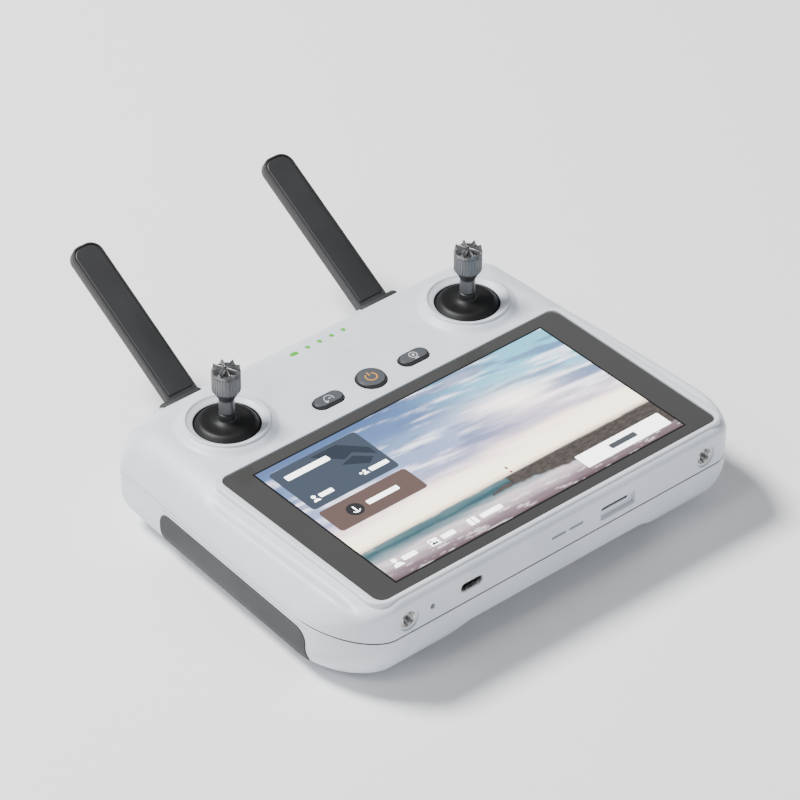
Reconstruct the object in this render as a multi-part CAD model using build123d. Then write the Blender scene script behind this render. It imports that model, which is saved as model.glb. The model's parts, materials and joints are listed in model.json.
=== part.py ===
from build123d import *
from math import cos, radians, sin, sqrt
import os

# Handheld drone controller with a built-in 5.5 inch screen.
# Design frame, in millimetres: X to the user's right, Y away from the user, Z up,
# with its zero at the middle of the display, on the top face of the cover glass.
# Every piece is moved to the part's own frame as it is written: see to_part_frame.

# ---- Body outline -------------------------------------------------------------------
FRONT_Y = -43.0          # front face, where the ports are
REAR_Y = 86.4            # rear face, behind the sticks
HALF_FRONT = 84.9        # half width where the front corners end
HALF_REAR = 81.5         # half width where the rear corners start
FRONT_CORNER = (17.0, 29.0)   # how far a corner runs along X and along Y
REAR_CORNER = (21.0, 9.4)
TOP_FRONT_CORNER = (8.0, 10.0)
TOP_REAR_CORNER = (14.0, 8.0)
DECK_Z = 0.0             # flat of the upper shell
PARTING_Z = -14.0        # where the two shells meet
FLOOR_Z = -24.0          # underside between the grips
GRIP_Z = -36.0           # underside of the grips
WALL = 2.0               # shell wall
SIDE_ROLL = 14.0         # rounding of the upper shell's sides
FRONT_ROLL = 3.2
REAR_ROLL = 10.0
GRIP_SIDE_ROLL = 13.0    # roundings of the lower shell down to the grips' underside
GRIP_FRONT_ROLL = 20.0
GRIP_REAR_RUN = 27.0
GRIP_REAR_RISE = 19.0
RECESS_TOP = 37.0        # half width of the flat underside between the grips
RECESS_FOOT = 56.0       # half width between the grips at their underside
RECESS_FILLET = 7.0
GAP = 0.3                # air between pieces that move past each other
FIT = 0.05               # radial running clearance
SEAM = 0.1               # assembly clearance between fixed pieces

# ---- Screen -------------------------------------------------------------------------
GLASS_X = 143.4
GLASS_Y = 78.9
GLASS_T = 1.1
GLASS_CORNER = 3.5
PANEL_X = 125.4
PANEL_Y = 72.0
PANEL_T = 1.8
RIM_W = 2.4              # raised lip around the glass
RIM_Z = 0.5
RIM_CORNER = 6.0
FRAME_T = 1.2            # metal plate behind the display

# ---- Control sticks -----------------------------------------------------------------
STICK_X = 51.4
STICK_Y = 60.2
PIVOT_Z = -9.0
STICK_SWING = 22.0
WELL_R = 11.2
WELL_Z = 1.2
COLLAR_R = 16.4
COLLAR_RING_R = 13.5
COLLAR_Z = 2.5
DOME_R = 14.4
DOME_T = 0.8
DOME_DISH_R = 9.2
DOME_DISH_Z = 2.2
DOME_BOSS_R = 2.9
DOME_BOSS_Z = 5.6
POST_R = 1.5
POST_FOOT = 6.0          # below the pivot
MAGNET_T = 2.0
KNOB_R = 4.8
KNOB_NECK_R = 2.65
KNOB_NECK_Z = 5.7
KNOB_CONE_Z = 11.3
KNOB_GRIP_Z = 14.5
KNOB_RIM_Z = 21.8
KNOB_TOOTH = 2.2
KNOB_TEETH = 8
KNOB_FLUTES = 30
GIMBAL_BASE_Z = -21.6
GIMBAL_BASE_T = 2.0
GIMBAL_HALF = 17.0
GIMBAL_SCREW = 14.6
YOKE_X = 5.8
YOKE_Y = 5.2
YOKE_T = 4.0
TRUNNION_R = 1.0
CROSS_PIN_R = 0.8
EAR_X = 8.6
EAR_T = 2.6

# ---- Buttons, lights ----------------------------------------------------------------
BUTTON_Y = 49.2
POWER_R = 5.1
PILL_X = 18.2
PILL_L = 11.4
PILL_W = 5.8
BUTTON_Z = 1.0
BUTTON_TRAVEL = 0.6
BUTTON_FLANGE = 1.0
BUTTON_FLANGE_T = 0.8
STEM_R = 1.5
STEM_L = 1.9
KEY_BOARD_Z = -8.2
BOARD_T = 1.2
LED_Y = 76.0
LED_R = 0.8
LED_XS = (-4.7, 0.4, 5.5, 10.5)
LED_PILL_X = -10.5
LED_PILL_L = 3.2
DIAL_X = 60.0
DIAL_Y = REAR_Y - 3.6
DIAL_Z = -9.2
DIAL_R = 4.2
DIAL_W = 5.0
DIAL_NOTCHES = 24
SHOULDER_X = 70.0
SHOULDER_Z = -9.0
SHOULDER_R = 3.0
SHOULDER_FLANGE = 0.7
SHOULDER_OUT = REAR_Y - 1.2
SHOULDER_IN = REAR_Y - 7.2
SHOULDER_TRAVEL = 0.8

# ---- Ports on the front face --------------------------------------------------------
INSERT_X = 62.9
INSERT_Z = -8.9
INSERT_BORE_R = 1.65     # M4 thread
INSERT_R = 2.8
INSERT_L = 6.0
INSERT_SEAT_R = 3.85
INSERT_SEAT = 0.7
MIC_X = -53.4
MIC_Z = -8.4
MIC_HOLE_R = 1.0
USB_X = -37.4
USB_Z = -8.0
USB_W = 8.94
USB_H = 3.2
USB_L = 7.4
USB_WALL = 0.3
SPEAKER_X = 2.7
SPEAKER_Z = -7.8
SPEAKER_W = 16.0
SLOT_L = 6.2
SLOT_H = 1.0
CARD_X = 24.5
CARD_Z = -9.15
CARD_BAY_W = 14.8
CARD_BAY_H = 4.9
CARD_BAY_DEEP = 1.5
CARD_SLOT_W = 11.6
CARD_SLOT_Z = -7.5

# ---- Boards and battery -------------------------------------------------------------
BOARD_Z = -9.6           # top face of the main board
BOARD_X = 114.0
BOARD_FRONT = FRONT_Y + WALL + 1.7
BOARD_REAR = 34.0
BATTERY_X = 72.0
BATTERY_Y = 66.0
BATTERY_T = 9.0

# ---- Case screws --------------------------------------------------------------------
SCREW_SPOTS = ((47.5, -37.4), (27.0, 44.2), (22.0, 79.5))
SCREW_BOSS_R = 2.8
SCREW_R = 1.0
SCREW_HEAD_R = 2.0
SCREW_HEAD_T = 1.6
SCREW_SEAT_Z = -19.0
SCREW_TIP_Z = -8.0

# ---- Grip pads ----------------------------------------------------------------------
PAD_FRONT = -19.0
PAD_REAR = 56.5
PAD_TOP = -17.0
PAD_BOTTOM = -32.5
PAD_T = 1.2
PAD_PROUD = 0.25
PAD_CORNER = 4.5

# ---- Antennas -----------------------------------------------------------------------
ANTENNA_X = 41.1
ANTENNA_W = 12.0
ANTENNA_T = 4.0
ANTENNA_LEN = 65.0       # hinge axis to tip
ANTENNA_TIP_R = 4.5
ANTENNA_LEAN = 30.5      # above the horizontal, as it rests
ANTENNA_BORDER = 0.9
HINGE_Y = REAR_Y + 8.4
HINGE_Z = -16.5
BARREL_R = 3.6
BARREL_OVER = 3.0        # how far the barrel runs past the blade's outer edge
PIN_R = 1.0
EAR_R = 2.5
EAR_W = 3.0

CORNER_PULL = 0.5        # handle length of a corner curve, as a share of the corner


def arc_inset(depth, run, rise):
    """Inset of a quarter-ellipse edge at a given depth under its flat."""
    if depth >= rise:
        return 0.0
    return run * (1 - sqrt(1 - ((rise - depth) / rise) ** 2))


def ring(z, side, front, rear, front_corner, rear_corner, half=(HALF_FRONT, HALF_REAR)):
    """Closed outline at height z, inset from the body's planform on each side."""
    y0, y1 = FRONT_Y + front, REAR_Y - rear
    fx, fy = front_corner
    rx, ry = rear_corner
    xf, xr = half[0] - side, half[1] - side
    front_end = Vector(xf - fx, y0, z)
    rear_end = Vector(xr - rx, y1, z)
    side_0 = Vector(xf, y0 + fy, z)
    side_1 = Vector(xr, y1 - ry, z)
    run = (side_1 - side_0).normalized()
    nose = (front_end, front_end + Vector(fx * CORNER_PULL, 0, 0), side_0 - run * (fy * CORNER_PULL), side_0)
    tail = (side_1, side_1 + run * (ry * CORNER_PULL), rear_end + Vector(rx * CORNER_PULL, 0, 0), rear_end)

    def flip(point):
        return Vector(-point.X, point.Y, point.Z)

    edges = [
        Edge.make_line(flip(front_end), front_end),
        Edge.make_bezier(*nose),
        Edge.make_line(side_0, side_1),
        Edge.make_bezier(*tail),
        Edge.make_line(rear_end, flip(rear_end)),
        Edge.make_bezier(*[flip(p) for p in reversed(tail)]),
        Edge.make_line(flip(side_1), flip(side_0)),
        Edge.make_bezier(*[flip(p) for p in reversed(nose)]),
    ]
    return Wire(edges)


def mix(start, end, share):
    return tuple(a + (b - a) * share for a, b in zip(start, end))


def upper_body(inset=0.0):
    """Outer form of the upper shell, or the same form drawn in by a wall."""
    top = DECK_Z - inset
    side_roll, front_roll, rear_roll = SIDE_ROLL - inset, max(FRONT_ROLL - inset, 1.0), REAR_ROLL - inset
    depths = (0.0, 0.12, 0.5, 1.2, 2.2, 3.6, 5.6, 8.2, 11.0, top - PARTING_Z)
    rings = []
    for depth in depths:
        side = arc_inset(depth, side_roll, side_roll)
        share = side / side_roll
        rings.append(ring(
            top - depth,
            inset + side,
            inset + arc_inset(depth, front_roll, front_roll),
            inset + arc_inset(depth, rear_roll, rear_roll),
            mix(FRONT_CORNER, TOP_FRONT_CORNER, share),
            mix(REAR_CORNER, TOP_REAR_CORNER, share),
        ))
    return Solid.make_loft(rings)


def lower_body(inset=0.0):
    """Outer form of the lower shell before the underside is hollowed between the grips."""
    low = GRIP_Z + inset
    side_roll, front_roll = GRIP_SIDE_ROLL - inset, GRIP_FRONT_ROLL - inset
    rear_run, rear_rise = GRIP_REAR_RUN - inset, GRIP_REAR_RISE - inset
    depths = (0.0, 0.15, 0.6, 1.5, 3.0, 5.0, 7.8, 11.0, 15.0, 18.5, PARTING_Z - low)
    rings = []
    for depth in depths:
        side = arc_inset(depth, side_roll, side_roll)
        share = side / side_roll
        rings.append(ring(
            low + depth,
            inset + side,
            inset + arc_inset(depth, front_roll, front_roll),
            inset + arc_inset(depth, rear_run, rear_rise),
            mix(FRONT_CORNER, (10.0, 14.0), share),
            mix(REAR_CORNER, (12.0, 12.0), share),
        ))
    return Solid.make_loft(rings)


def recess(grow=0.0):
    """Space under the body between the grips, where the fingers lie, grown by a wall for the inside."""
    top = FLOOR_Z + grow
    half_top, half_foot = RECESS_TOP + grow, RECESS_FOOT + grow
    slope = (half_foot - half_top) / (FLOOR_Z - GRIP_Z)
    foot_z = GRIP_Z - 4.0
    foot = half_top + (top - foot_z) * slope
    profile = Polyline((-half_top, top), (half_top, top), (foot, foot_z), (-foot, foot_z), close=True)
    length = REAR_Y - FRONT_Y + 40.0
    solid = extrude(Plane.XZ.offset(-(REAR_Y + 20.0)) * make_face(profile), length)
    upper_edges = solid.edges().filter_by(Axis.Y).group_by(Axis.Z)[-1]
    return fillet(upper_edges, RECESS_FILLET + grow)


def block(x0, x1, y0, y1, z0, z1):
    return Pos((x0 + x1) / 2, (y0 + y1) / 2, (z0 + z1) / 2) * Box(x1 - x0, y1 - y0, z1 - z0)


def post(x, y, z0, z1, radius):
    return Pos(x, y, (z0 + z1) / 2) * Cylinder(radius, z1 - z0)


def rod_x(x0, x1, y, z, radius):
    return Pos((x0 + x1) / 2, y, z) * Rot(0, 90, 0) * Cylinder(radius, x1 - x0)


def rod_y(x, y0, y1, z, radius):
    return Pos(x, (y0 + y1) / 2, z) * Rot(90, 0, 0) * Cylinder(radius, y1 - y0)


def pill(x, y, z0, z1, length, width):
    """Upright slab with round ends, its length along X."""
    return Pos(x, y, z0) * extrude(SlotOverall(length, width), z1 - z0)


def pill_y(x, z, y0, y1, length, width):
    """Slab with round ends that runs along Y, its length along X."""
    return Pos(x, y1, z) * Rot(90, 0, 0) * extrude(SlotOverall(length, width), y1 - y0)


def turned(points, x=0.0, y=0.0):
    """Solid of revolution about an upright axis, from (radius, height) points."""
    face = make_face(Polyline(*points, close=True))
    return Pos(x, y, 0) * revolve(Plane.XZ * face, Axis.Z)


def rounded_plate(half_x, y0, y1, z0, z1, corner):
    plate = extrude(RectangleRounded(2 * half_x, y1 - y0, corner), z1 - z0)
    return Pos(0, (y0 + y1) / 2, z0) * plate


def mirrored(solid):
    return solid.mirror(Plane.YZ)


def pair(solid):
    """A solid and its mirror image across the middle of the controller."""
    return solid + mirrored(solid)


# ---- Screen -------------------------------------------------------------------------
def screen_glass():
    plate = rounded_plate(GLASS_X / 2, -GLASS_Y / 2, GLASS_Y / 2, -GLASS_T, 0, GLASS_CORNER)
    return chamfer(plate.edges().group_by(Axis.Z)[-1], 0.25)


def display_panel():
    top = -GLASS_T
    panel = block(-PANEL_X / 2, PANEL_X / 2, -PANEL_Y / 2, PANEL_Y / 2, top - PANEL_T, top)
    driver_strip = block(-40, 40, -PANEL_Y / 2 - 0.8, -PANEL_Y / 2, top - PANEL_T, top - PANEL_T + 0.6)
    return panel + driver_strip


def display_frame():
    top = -GLASS_T - PANEL_T
    half_x, half_y = PANEL_X / 2 + 4.5, PANEL_Y / 2 + 1.8
    plate = rounded_plate(half_x, -half_y, half_y, top - FRAME_T, top, 3.0)
    ribs = [block(x - 0.6, x + 0.6, -26, 26, top - FRAME_T - 1.0, top - FRAME_T) for x in (-45, -15, 15, 45)]
    return plate + ribs


# ---- Control sticks, built about the right-hand stick's axis -------------------------
def at_stick(solid):
    return Pos(STICK_X, STICK_Y, PIVOT_Z) * solid


def on_sphere(radius, angle):
    """Point of a sphere about the pivot, at an angle from the upright."""
    return radius * sin(radians(angle)), PIVOT_Z + radius * cos(radians(angle))


def stick_dome():
    skirt = 72.0
    rim_angle = 39.5
    inner = DOME_R - DOME_T
    outer_arc = [on_sphere(DOME_R, rim_angle + (skirt - rim_angle) * i / 8) for i in range(9)]
    inner_arc = [on_sphere(inner, skirt - (skirt - rim_angle) * i / 8) for i in range(9)]
    dish = [(6.4, DOME_DISH_Z - 0.9), (DOME_BOSS_R + 0.6, DOME_DISH_Z), (DOME_BOSS_R, DOME_DISH_Z + 0.8)]
    under = [(6.4, DOME_DISH_Z - 1.8), (POST_R + FIT, DOME_DISH_Z - 1.4)]
    top = [(DOME_BOSS_R, DOME_BOSS_Z), (POST_R + FIT, DOME_BOSS_Z)]
    return turned(outer_arc + inner_arc + under + list(reversed(top)) + list(reversed(dish)), STICK_X, STICK_Y)


def stick_post():
    """Steel post with the cross pin it tilts on and a seat for the magnet at its foot."""
    foot = PIVOT_Z - POST_FOOT
    shaft = Cylinder(POST_R, KNOB_RIM_Z - 3.0 - foot)
    shaft = Pos(STICK_X, STICK_Y, (KNOB_RIM_Z - 3.0 + foot) / 2) * shaft
    hub = Pos(STICK_X, STICK_Y, PIVOT_Z) * Cylinder(2.0, 3.4)
    reach = YOKE_Y - 0.2
    pin = rod_y(STICK_X, STICK_Y - reach, STICK_Y + reach, PIVOT_Z, CROSS_PIN_R)
    return shaft + hub + pin


def stick_magnet():
    top = PIVOT_Z - POST_FOOT
    return post(STICK_X, STICK_Y, top - MAGNET_T, top, 2.0)


def stick_knob():
    body = turned(
        [
            (POST_R + FIT, KNOB_NECK_Z), (KNOB_NECK_R, KNOB_NECK_Z), (KNOB_NECK_R, KNOB_CONE_Z),
            (KNOB_R - 0.1, KNOB_GRIP_Z), (KNOB_R, KNOB_GRIP_Z + 0.4), (KNOB_R, KNOB_RIM_Z - 0.5),
            (KNOB_R - 0.5, KNOB_RIM_Z), (0, KNOB_RIM_Z), (0, KNOB_RIM_Z - 2.9), (POST_R + FIT, KNOB_RIM_Z - 2.9),
        ],
        STICK_X, STICK_Y,
    )
    flute = post(KNOB_R + 0.1, 0, KNOB_GRIP_Z - 2.0, KNOB_RIM_Z - 0.9, 0.28)
    for number in range(KNOB_FLUTES):
        body -= Pos(STICK_X, STICK_Y, 0) * Rot(0, 0, 360 / KNOB_FLUTES * number) * flute
    tooth = extrude(Plane.YZ.offset(1.1) * make_face(Polyline(
        (-1.1, KNOB_RIM_Z), (1.1, KNOB_RIM_Z), (0, KNOB_RIM_Z + KNOB_TOOTH), close=True)), KNOB_R - 1.8)
    for number in range(KNOB_TEETH):
        body += Pos(STICK_X, STICK_Y, 0) * Rot(0, 0, 360 / KNOB_TEETH * (number + 0.5)) * tooth
    return body


def gimbal_yoke():
    ring_body = Box(2 * YOKE_X, 2 * YOKE_Y, YOKE_T) - Box(2 * YOKE_X - 3.6, 2 * YOKE_Y - 3.6, YOKE_T + 1)
    ring_body -= rod_y(0, -YOKE_Y - 1, YOKE_Y + 1, 0, CROSS_PIN_R + FIT)
    reach = EAR_X + EAR_T
    arms = rod_x(YOKE_X - 0.5, reach, 0, 0, TRUNNION_R) + rod_x(-reach, 0.5 - YOKE_X, 0, 0, TRUNNION_R)
    return at_stick(ring_body + arms)


def gimbal_springs():
    """Centring coil around each trunnion, between the yoke and its ear."""
    coil = rod_x(YOKE_X + GAP, EAR_X, 0, 0, 2.0) - rod_x(YOKE_X, EAR_X + 1, 0, 0, TRUNNION_R + GAP)
    return at_stick(coil + coil.mirror(Plane.YZ))


def gimbal_base():
    base_top = GIMBAL_BASE_Z + GIMBAL_BASE_T
    plate = rounded_plate(GIMBAL_HALF, -GIMBAL_HALF, GIMBAL_HALF, GIMBAL_BASE_Z, base_top, 3.0)
    for x in (-GIMBAL_SCREW, GIMBAL_SCREW):
        for y in (-GIMBAL_SCREW, GIMBAL_SCREW):
            plate -= post(x, y, GIMBAL_BASE_Z - 1, base_top + 1, 1.2)
    ear = block(EAR_X, EAR_X + EAR_T, -2.6, 2.6, base_top, PIVOT_Z + 2.4)
    ear -= rod_x(EAR_X - 1, EAR_X + EAR_T + 1, 0, PIVOT_Z, TRUNNION_R + FIT)
    return Pos(STICK_X, STICK_Y, 0) * (plate + ear + ear.mirror(Plane.YZ))


def gimbal_sensor_board():
    top = GIMBAL_BASE_Z + GIMBAL_BASE_T
    board = block(-6.5, 6.5, -6.5, 6.5, top, top + 0.8) + block(-1.5, 1.5, -1.5, 1.5, top + 0.8, top + 1.4)
    return Pos(STICK_X, STICK_Y, 0) * board


# ---- Buttons ------------------------------------------------------------------------
def button_cap(x, outline):
    """Key cap with a flange that stops it under the deck and a stem over its switch."""
    flange_top = DECK_Z - WALL - GAP
    flange_foot = flange_top - BUTTON_FLANGE_T
    cap = extrude(outline, BUTTON_Z - flange_top)
    cap = Pos(0, 0, flange_top) * fillet(cap.edges().group_by(Axis.Z)[-1], 0.35)
    skirt = Pos(0, 0, flange_foot) * extrude(offset(outline, BUTTON_FLANGE), BUTTON_FLANGE_T)
    stem = post(0, 0, flange_foot - STEM_L, flange_foot, STEM_R)
    return Pos(x, BUTTON_Y, 0) * (cap + skirt + stem)


def tact_switches():
    stem_foot = DECK_Z - WALL - GAP - BUTTON_FLANGE_T - STEM_L
    top = stem_foot - BUTTON_TRAVEL - 0.1
    bodies = [block(x - 3, x + 3, BUTTON_Y - 3, BUTTON_Y + 3, KEY_BOARD_Z, top) for x in (-PILL_X, 0, PILL_X)]
    return Part() + bodies


def led_light_guides():
    dots = [post(x, LED_Y, KEY_BOARD_Z, DECK_Z, LED_R) for x in LED_XS]
    bar = pill(LED_PILL_X, LED_Y, KEY_BOARD_Z, DECK_Z, LED_PILL_L, 2 * LED_R)
    return Part() + dots + [bar]


def key_board():
    board = block(-27.5, 27.5, 45.6, 79.0, KEY_BOARD_Z - BOARD_T, KEY_BOARD_Z)
    for x, y in SCREW_SPOTS[1:]:
        board -= pair(post(x, y, KEY_BOARD_Z - 3, KEY_BOARD_Z + 1, SCREW_BOSS_R + 0.6))
    return board


def shoulder_dial():
    wheel = rod_x(DIAL_X - DIAL_W / 2, DIAL_X + DIAL_W / 2, DIAL_Y, DIAL_Z, DIAL_R)
    notch = rod_x(DIAL_X - DIAL_W, DIAL_X + DIAL_W, 0, 0, 0.3)
    for number in range(DIAL_NOTCHES):
        turn = 360 / DIAL_NOTCHES * number
        at = Vector(0, DIAL_Y + DIAL_R * cos(radians(turn)), DIAL_Z + DIAL_R * sin(radians(turn)))
        wheel -= Pos(*at) * notch
    reach = DIAL_W / 2 + GAP + 1.6
    return wheel + rod_x(DIAL_X - reach, DIAL_X + reach, DIAL_Y, DIAL_Z, 1.0)


def shoulder_button():
    cap = rod_y(SHOULDER_X, SHOULDER_IN, SHOULDER_OUT, SHOULDER_Z, SHOULDER_R)
    cap = fillet(cap.edges().group_by(Axis.Y)[-1], 0.6)
    return cap + rod_y(SHOULDER_X, SHOULDER_IN - 1.0, SHOULDER_IN, SHOULDER_Z, SHOULDER_R + SHOULDER_FLANGE)


# ---- Ports --------------------------------------------------------------------------
def threaded_inserts():
    y0 = FRONT_Y + INSERT_SEAT
    body = rod_y(INSERT_X, y0, y0 + INSERT_L, INSERT_Z, INSERT_R)
    body -= rod_y(INSERT_X, y0 - 1, y0 + INSERT_L + 1, INSERT_Z, INSERT_BORE_R)
    return pair(body)


def usb_shell():
    y0 = FRONT_Y + 0.4
    outer = pill_y(USB_X, USB_Z, y0, y0 + USB_L, USB_W, USB_H)
    hollow = pill_y(USB_X, USB_Z, y0 - 1, y0 + USB_L - 0.6, USB_W - 2 * USB_WALL, USB_H - 2 * USB_WALL)
    return outer - hollow


def usb_tongue():
    y1 = FRONT_Y + 0.4 + USB_L - 0.6
    return block(USB_X - 3.35, USB_X + 3.35, y1 - 5.6, y1, USB_Z - 0.35, USB_Z + 0.35)


def card_socket():
    y0 = FRONT_Y + WALL + 1.5
    body = block(CARD_X - 7.2, CARD_X + 7.2, y0, y0 + 14.5, BOARD_Z, CARD_SLOT_Z + 1.0)
    return body - block(CARD_X - 5.6, CARD_X + 5.6, y0 - 1, y0 + 13.8, CARD_SLOT_Z - 0.4, CARD_SLOT_Z + 0.4)


def speaker():
    y0 = FRONT_Y + WALL + SEAM
    half = SPEAKER_W / 2
    box = block(SPEAKER_X - half, SPEAKER_X + half, y0, y0 + 5.0, SPEAKER_Z - 3.6, SPEAKER_Z + 3.0)
    return fillet(box.edges().filter_by(Axis.Y), 1.2)


def microphone():
    y0 = FRONT_Y + WALL + 0.6
    return block(MIC_X - 2.0, MIC_X + 2.0, y0, y0 + 3.0, BOARD_Z, MIC_Z + 1.2)


# ---- Boards and battery -------------------------------------------------------------
def main_board():
    board = block(-BOARD_X / 2, BOARD_X / 2, BOARD_FRONT, BOARD_REAR, BOARD_Z - BOARD_T, BOARD_Z)
    half = SPEAKER_W / 2 + 0.6
    board -= block(SPEAKER_X - half, SPEAKER_X + half, BOARD_FRONT - 1, FRONT_Y + WALL + 5.6, -12, -8)
    x, y = SCREW_SPOTS[0]
    return board - pair(post(x, y, -12, -8, SCREW_BOSS_R + 0.8)) - pair(post(INSERT_X, y, -14, -8, 5.0))


def shield_cans():
    radio = block(-38, -10, 2, 26, BOARD_Z, BOARD_Z + 2.0)
    processor = block(4, 34, -4, 24, BOARD_Z, BOARD_Z + 2.4)
    return Part() + [radio, processor]


def battery_pack():
    floor = FLOOR_Z + WALL
    pack = block(-BATTERY_X / 2, BATTERY_X / 2, -BATTERY_Y / 2, BATTERY_Y / 2, floor, floor + BATTERY_T)
    return fillet(pack.edges().filter_by(Axis.Y), 3.0)


def case_screws():
    screws = []
    for x, y in SCREW_SPOTS:
        shank = post(x, y, SCREW_SEAT_Z, SCREW_TIP_Z, SCREW_R)
        head = post(x, y, SCREW_SEAT_Z - SCREW_HEAD_T, SCREW_SEAT_Z, SCREW_HEAD_R)
        slot = post(x, y, SCREW_SEAT_Z - SCREW_HEAD_T - 1, SCREW_SEAT_Z - SCREW_HEAD_T + 0.8, 0.8)
        screws += [shank + head - slot, mirrored(shank + head - slot)]
    return Part() + screws


# ---- Grip pads ----------------------------------------------------------------------
def pad_window(grow):
    """Side window of the right-hand pad, drawn along X."""
    width, height = PAD_REAR - PAD_FRONT + 2 * grow, PAD_TOP - PAD_BOTTOM + 2 * grow
    window = extrude(RectangleRounded(width, height, PAD_CORNER + grow), 40)
    middle = Pos(60, (PAD_FRONT + PAD_REAR) / 2, (PAD_TOP + PAD_BOTTOM) / 2)
    return middle * Rot(0, 0, 90) * Rot(90, 0, 0) * window


def grip_pad():
    return (lower_body(-PAD_PROUD) - lower_body(PAD_T)) & pad_window(0)


# ---- Antennas, laid out flat along Y from the right-hand hinge -----------------------
def raised(solid):
    """Stands a flat-drawn antenna piece at its hinge, leaning as it rests."""
    return Pos(ANTENNA_X, HINGE_Y, HINGE_Z) * Rot(ANTENNA_LEAN, 0, 0) * solid


def blade(half_x, y0, y1, z0, z1, corner):
    plate = block(-half_x, half_x, y0, y1, z0, z1)
    return fillet(plate.edges().filter_by(Axis.Z).group_by(Axis.Y)[-1], corner)


def antenna_split():
    return ANTENNA_T / 2 - 1.4


def antenna_back():
    half = ANTENNA_W / 2
    split = antenna_split()
    body = blade(half, 0, ANTENNA_LEN, -ANTENNA_T / 2, split, ANTENNA_TIP_R)
    body += rod_x(-half, half + BARREL_OVER, 0, 0, BARREL_R)
    hollow = blade(half - 1.3, BARREL_R + 2.4, ANTENNA_LEN - 1.3, -ANTENNA_T / 2 + 0.9, split, ANTENNA_TIP_R - 1.3)
    body -= rod_x(-half - 1, half + BARREL_OVER + 1, 0, 0, PIN_R + FIT)
    return raised(body - hollow)


def antenna_front():
    half = ANTENNA_W / 2 - ANTENNA_BORDER
    corner = ANTENNA_TIP_R - ANTENNA_BORDER
    start = BARREL_R + 0.5
    cover = blade(half, start, ANTENNA_LEN - ANTENNA_BORDER, antenna_split(), ANTENNA_T / 2, corner)
    return raised(chamfer(cover.edges().group_by(Axis.Z)[-1], 0.5))


def antenna_element():
    top = antenna_split()
    floor = -ANTENNA_T / 2 + 0.9
    return raised(block(-3.6, 3.6, BARREL_R + 4.0, ANTENNA_LEN - 6.0, floor, floor + (top - floor) * 0.6))


def hinge_ears_x():
    """Inner and outer ear of the right-hand antenna, as spans along X."""
    inner = ANTENNA_X - ANTENNA_W / 2 - GAP
    outer = ANTENNA_X + ANTENNA_W / 2 + BARREL_OVER + GAP
    return (inner - EAR_W, inner), (outer, outer + EAR_W)


def hinge_pins():
    (start, _), (_, end) = hinge_ears_x()
    return pair(rod_x(start, end, HINGE_Y, HINGE_Z, PIN_R))


def hinge_ear(span):
    x0, x1 = span
    ear = rod_x(x0, x1, HINGE_Y, HINGE_Z, EAR_R)
    root = Plane.YZ.offset(x0) * make_face(Polyline(
        (REAR_Y - 3.0, PARTING_Z - SEAM), (REAR_Y + 3.0, PARTING_Z - SEAM), (HINGE_Y, HINGE_Z + EAR_R),
        (HINGE_Y + EAR_R, HINGE_Z), (HINGE_Y, HINGE_Z - EAR_R), (REAR_Y - 3.0, FLOOR_Z + 2.0), close=True))
    return ear + extrude(root, x1 - x0)


# ---- Shells -------------------------------------------------------------------------
def screen_rim():
    half = GLASS_X / 2 + SEAM + RIM_W
    y0, y1 = FRONT_Y, GLASS_Y / 2 + SEAM + RIM_W
    rim = rounded_plate(half, y0, y1, -6.0, RIM_Z, RIM_CORNER)
    rim = chamfer(rim.edges().group_by(Axis.Z)[-1], 0.7)
    wedge = Plane.YZ.offset(-half - 1) * make_face(Polyline(
        (y0 - 1, -FRONT_ROLL), (y0, -FRONT_ROLL), (y0 + 0.55, -1.4), (y0 + 1.6, -0.2),
        (y0 + FRONT_ROLL - 0.2, RIM_Z), (y0 + FRONT_ROLL, RIM_Z + 1), (y0 - 1, RIM_Z + 1), close=True))
    return rim - extrude(wedge, 2 * half + 2)


def stick_collar():
    return turned(
        [
            (0, -3.0), (COLLAR_R, -3.0), (COLLAR_R, 0.1), (COLLAR_R - 0.5, 0.3), (COLLAR_RING_R + 0.5, COLLAR_Z - 0.2),
            (COLLAR_RING_R, COLLAR_Z), (COLLAR_RING_R - 0.5, COLLAR_Z - 0.2), (WELL_R, WELL_Z), (0, WELL_Z),
        ],
        STICK_X, STICK_Y,
    )


def upper_bosses():
    """Screw, gimbal, key-board and insert bosses on the inside of the upper shell."""
    parts = []
    for x, y in SCREW_SPOTS:
        parts.append(post(x, y, PARTING_Z + SEAM, -1.0, SCREW_BOSS_R))
    x, y = SCREW_SPOTS[0]
    parts[0] = post(x, y, PARTING_Z + SEAM, -5.0, SCREW_BOSS_R)
    parts.append(block(x - 1.0, x + 1.0, FRONT_Y + 1.0, y, PARTING_Z + SEAM, -5.0))
    for dx in (-GIMBAL_SCREW, GIMBAL_SCREW):
        for dy in (-GIMBAL_SCREW, GIMBAL_SCREW):
            parts.append(post(STICK_X + dx, STICK_Y + dy, GIMBAL_BASE_Z + GIMBAL_BASE_T, -1.5, 2.2))
    for y in (56.0, 72.0):
        parts.append(post(24.0, y, KEY_BOARD_Z, -1.0, 1.5))
    parts.append(rod_y(INSERT_X, FRONT_Y + 1.0, FRONT_Y + INSERT_SEAT + INSERT_L, INSERT_Z, INSERT_R + 1.6))
    ear_x = DIAL_W / 2 + GAP
    for x0, x1 in ((DIAL_X - ear_x - 1.6, DIAL_X - ear_x), (DIAL_X + ear_x, DIAL_X + ear_x + 1.6)):
        ear = block(x0, x1, DIAL_Y - 2.4, REAR_Y - 1.0, DIAL_Z - 2.4, DIAL_Z + 2.4)
        parts.append(ear - rod_x(x0 - 1, x1 + 1, DIAL_Y, DIAL_Z, 1.0 + FIT))
    return parts


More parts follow.
